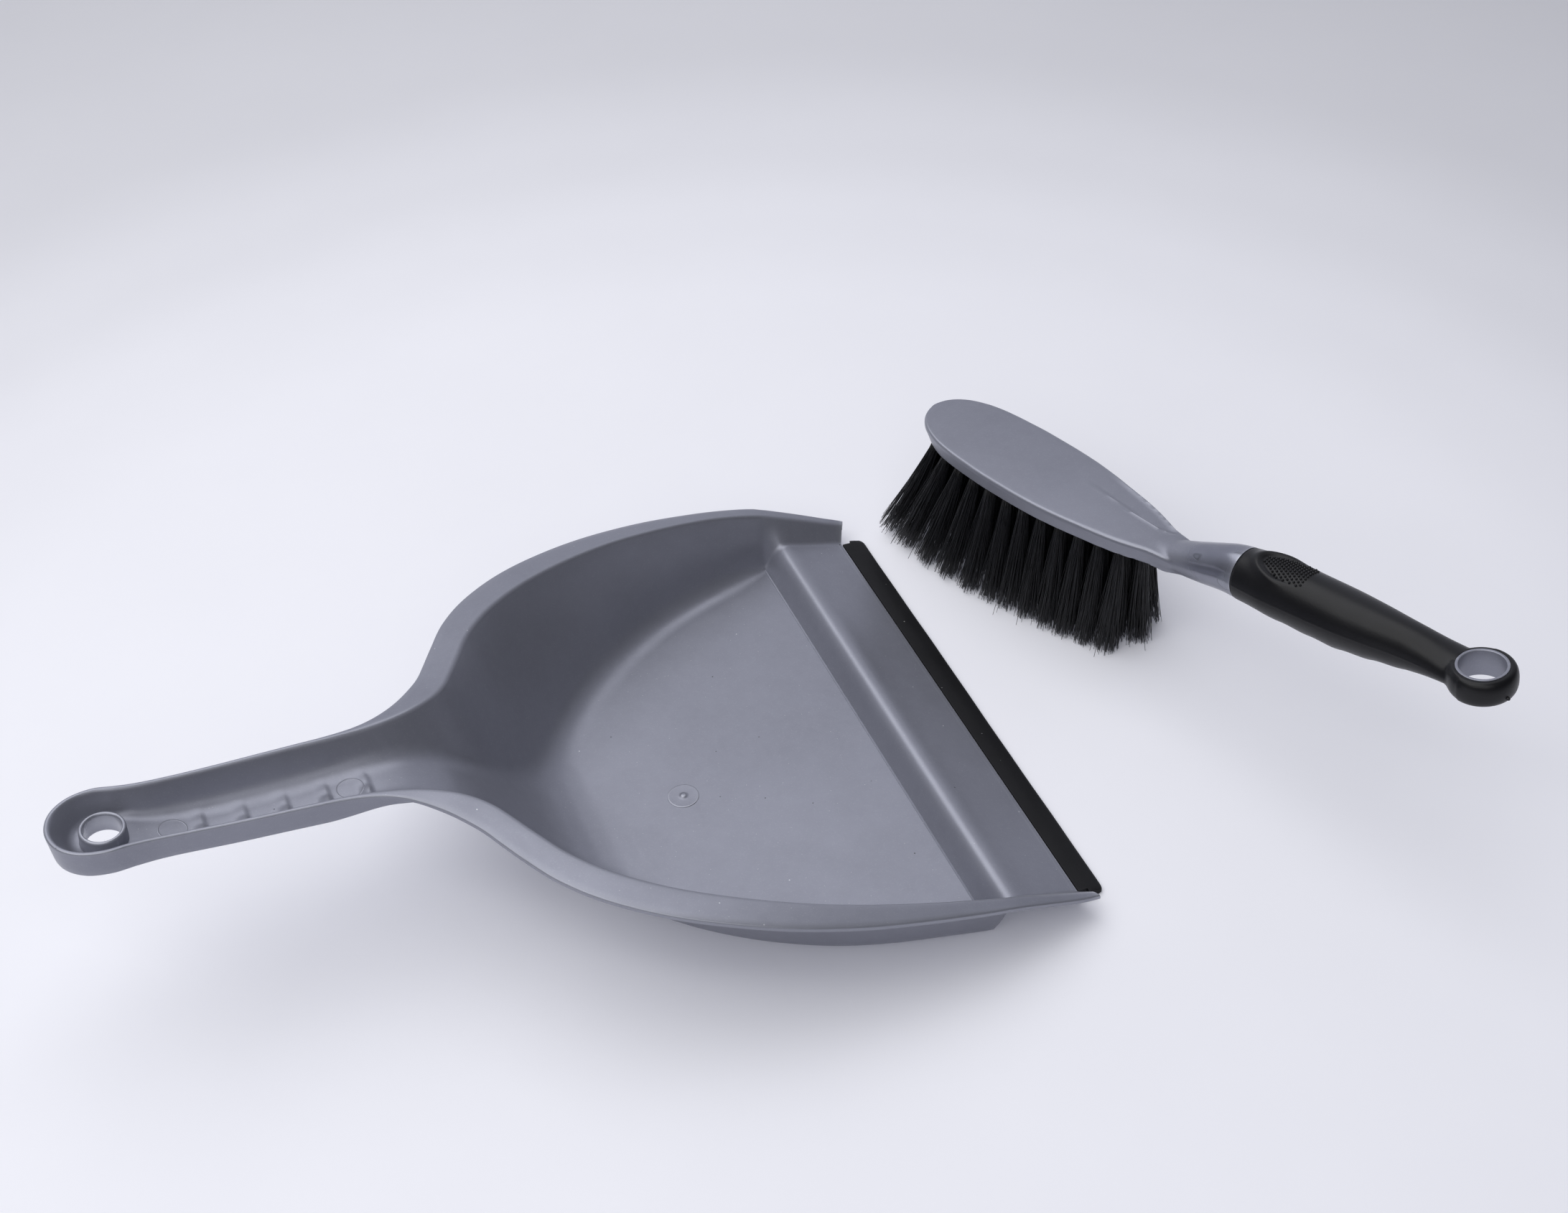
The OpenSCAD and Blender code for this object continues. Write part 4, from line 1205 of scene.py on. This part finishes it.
# ------------------------------------------------------------------ build
pan, brush, sleeve = dustpan(), brush_body(), grip()
for piece, node, body, slot in (
        (pan, "pan_body", "dustpan", "pan_plastic"),
        (brush, "brush_body", "brush", "brush_plastic"),
        (sleeve, "grip_sleeve", "brush", "grip_rubber")):
    place(piece, ROW)
    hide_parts(node)
    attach(piece, body)

strip = place(lip(), ROW)
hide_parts("lip_strip")
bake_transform(strip)

black_hair = filament()
for k, (row_name, row) in enumerate(TUFT_ROWS.items()):
    tufts = place(bristles("bristles_" + row_name, row, seed=11 + k), ROW)
    use(tufts, black_hair)
    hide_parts("tufts_" + row_name)
    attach(tufts, "brush")

steel = anchor_steel()
for row_name in TUFT_ROWS:
    use(frame["nodes"]["anchors_" + row_name], steel)

use(pan, pan_plastic())
use(brush, brush_plastic())
use(sleeve, rubber("soft_touch_grip", dark=(0.0045, 0.0045, 0.0055),
                   light=(0.008, 0.008, 0.0095), rough=(0.31, 0.39), specular=0.3))
use(strip, rubber("lip_rubber", dark=(0.005, 0.005, 0.006), light=(0.010, 0.010, 0.012),
                  rough=(0.5, 0.62), specular=0.2, lint=0.5))


# ------------------------------------------------------------------ stage
def paper_material():
    """Pale paper with painted shade that darkens it away from the object, and a faint painted glow
    from its emission, as if lit from behind.
    """
    mat = Material("stage_paper")
    cloud = mat.noise(scale=5, detail=4, roughness=0.6)
    tone = mat.mix(mat.remap(cloud, span=(0.3, 0.7)), (0.815, 0.815, 0.85),
                   over=(0.84, 0.84, 0.875))
    away = mat.node("ShaderNodeVectorMath", {0: mat.coords}, operation="LENGTH").outputs["Value"]
    painted_falloff = mat.node("ShaderNodeValToRGB", {"Fac": away})
    ramp = painted_falloff.color_ramp
    ramp.interpolation = "EASE"
    ramp.elements.remove(ramp.elements[-1])
    # Distance from the origin in metres, brightness of the painted shade
    stops = [(0.34, 1.0), (0.42, 0.96), (0.5, 0.89), (0.62, 0.80), (0.85, 0.75), (1.0, 0.74)]
    ramp.elements[0].position = stops[0][0]
    for i, (position, level) in enumerate(stops):
        stop = ramp.elements.new(position) if i else ramp.elements[0]
        stop.color = (level, level, level, 1)
    painted_falloff = painted_falloff.outputs[0]
    # Painted shade in the base colour; the emission is a painted glow that lifts the paper's
    # shadows, stronger further away
    mat.surface({
        "Base Color": mat.mix(1.0, tone, painted_falloff, mode="MULTIPLY"),
        "Roughness": 0.75,
        "Specular IOR Level": 0.2,
        "Emission Color": mat.mix(1.0, (0.80, 0.82, 1.0), painted_falloff, mode="MULTIPLY"),
        "Emission Strength": mat.remap(away, span=(1.1, 2.8), to=(0.11, 0.62))})
    return mat.data


def paper_floor(half=4, z=-0.00005):
    corners = [(-half, -half, z), (half, -half, z), (half, half, z), (-half, half, z)]
    paper = make(corners, [(0, 1, 2, 3)], "stage_floor", smooth=False)
    use(paper, paper_material())


def area_light(name, location, aim, size, power):
    light = bpy.data.lights.new(name, "AREA")
    light.shape = "RECTANGLE"
    light.size, light.size_y = size
    light.energy = power
    obj = bpy.data.objects.new(name, light)
    obj.location = location
    obj.rotation_mode = "QUATERNION"
    obj.rotation_quaternion = (Vector(aim) - Vector(location)).to_track_quat("-Z", "Y")
    bpy.context.scene.collection.objects.link(obj)


def studio_world():
    """Dim on the camera's side, with a broad glow behind the object."""
    studio = bpy.data.worlds.new("studio")
    bpy.context.scene.world = studio
    studio.use_nodes = True
    nodes, link = studio.node_tree.nodes, studio.node_tree.links.new
    fill = nodes["Background"]
    fill.inputs[0].default_value = (0.86, 0.88, 1.0, 1)
    direction = nodes.new("ShaderNodeTexCoord")
    toward = nodes.new("ShaderNodeVectorMath")
    toward.operation = "DOT_PRODUCT"
    toward.inputs[1].default_value = (0.25, 0.90, 0.30)  # towards the glow
    link(direction.outputs["Generated"], toward.inputs[0])
    glow = nodes.new("ShaderNodeMapRange")
    glow.interpolation_type = "SMOOTHSTEP"
    for key, value in {"From Min": 0.15, "From Max": 0.95, "To Min": 0.10, "To Max": 0.63}.items():
        glow.inputs[key].default_value = value
    link(toward.outputs["Value"], glow.inputs["Value"])
    link(glow.outputs[0], fill.inputs[1])
    # Seen directly, beyond the floor's edge, the surroundings are pale
    pale = nodes.new("ShaderNodeBackground")
    pale.inputs[0].default_value = (0.60, 0.60, 0.66, 1)
    path = nodes.new("ShaderNodeLightPath")
    both = nodes.new("ShaderNodeMixShader")
    link(path.outputs["Is Camera Ray"], both.inputs[0])
    link(fill.outputs[0], both.inputs[1])
    link(pale.outputs[0], both.inputs[2])
    link(both.outputs[0], nodes["World Output"].inputs[0])


def add_camera(location, lens, yaw, pitch, roll):
    """Camera turned from +Y towards +X by yaw and down by pitch, all in degrees."""
    yaw, pitch, roll = map(math.radians, (yaw, pitch, roll))
    forward = Vector((math.sin(yaw) * math.cos(pitch), math.cos(yaw) * math.cos(pitch),
                      -math.sin(pitch)))
    level = Vector((math.cos(yaw), -math.sin(yaw), 0))
    above = level.cross(forward)
    right = math.cos(roll) * level + math.sin(roll) * above
    up = -math.sin(roll) * level + math.cos(roll) * above
    data = bpy.data.cameras.new("camera")
    data.sensor_fit = "HORIZONTAL"
    data.sensor_width = 36
    data.lens = lens
    data.clip_start, data.clip_end = 0.05, 20
    camera = bpy.data.objects.new("camera", data)
    matrix = Matrix((right, up, -forward)).transposed().to_4x4()
    matrix.translation = location
    camera.matrix_world = matrix
    bpy.context.scene.collection.objects.link(camera)
    bpy.context.scene.camera = camera


paper_floor()
area_light("key_front_left", location=(-0.70, -0.70, 1.15), aim=(-0.05, 0.0, 0.0),
           size=(2.0, 1.2), power=9.5)
area_light("key_back_left", location=(-0.28, 0.45, 1.40), aim=(0.05, 0.15, 0.0),
           size=(2.0, 1.6), power=15.5)
studio_world()
add_camera(world((-305.91, -612.68, 661.87)), lens=52.403736, yaw=20.15, pitch=41.53, roll=-3.21)
bpy.context.scene.view_settings.view_transform = "Standard"
bpy.context.scene.view_settings.look = "None"
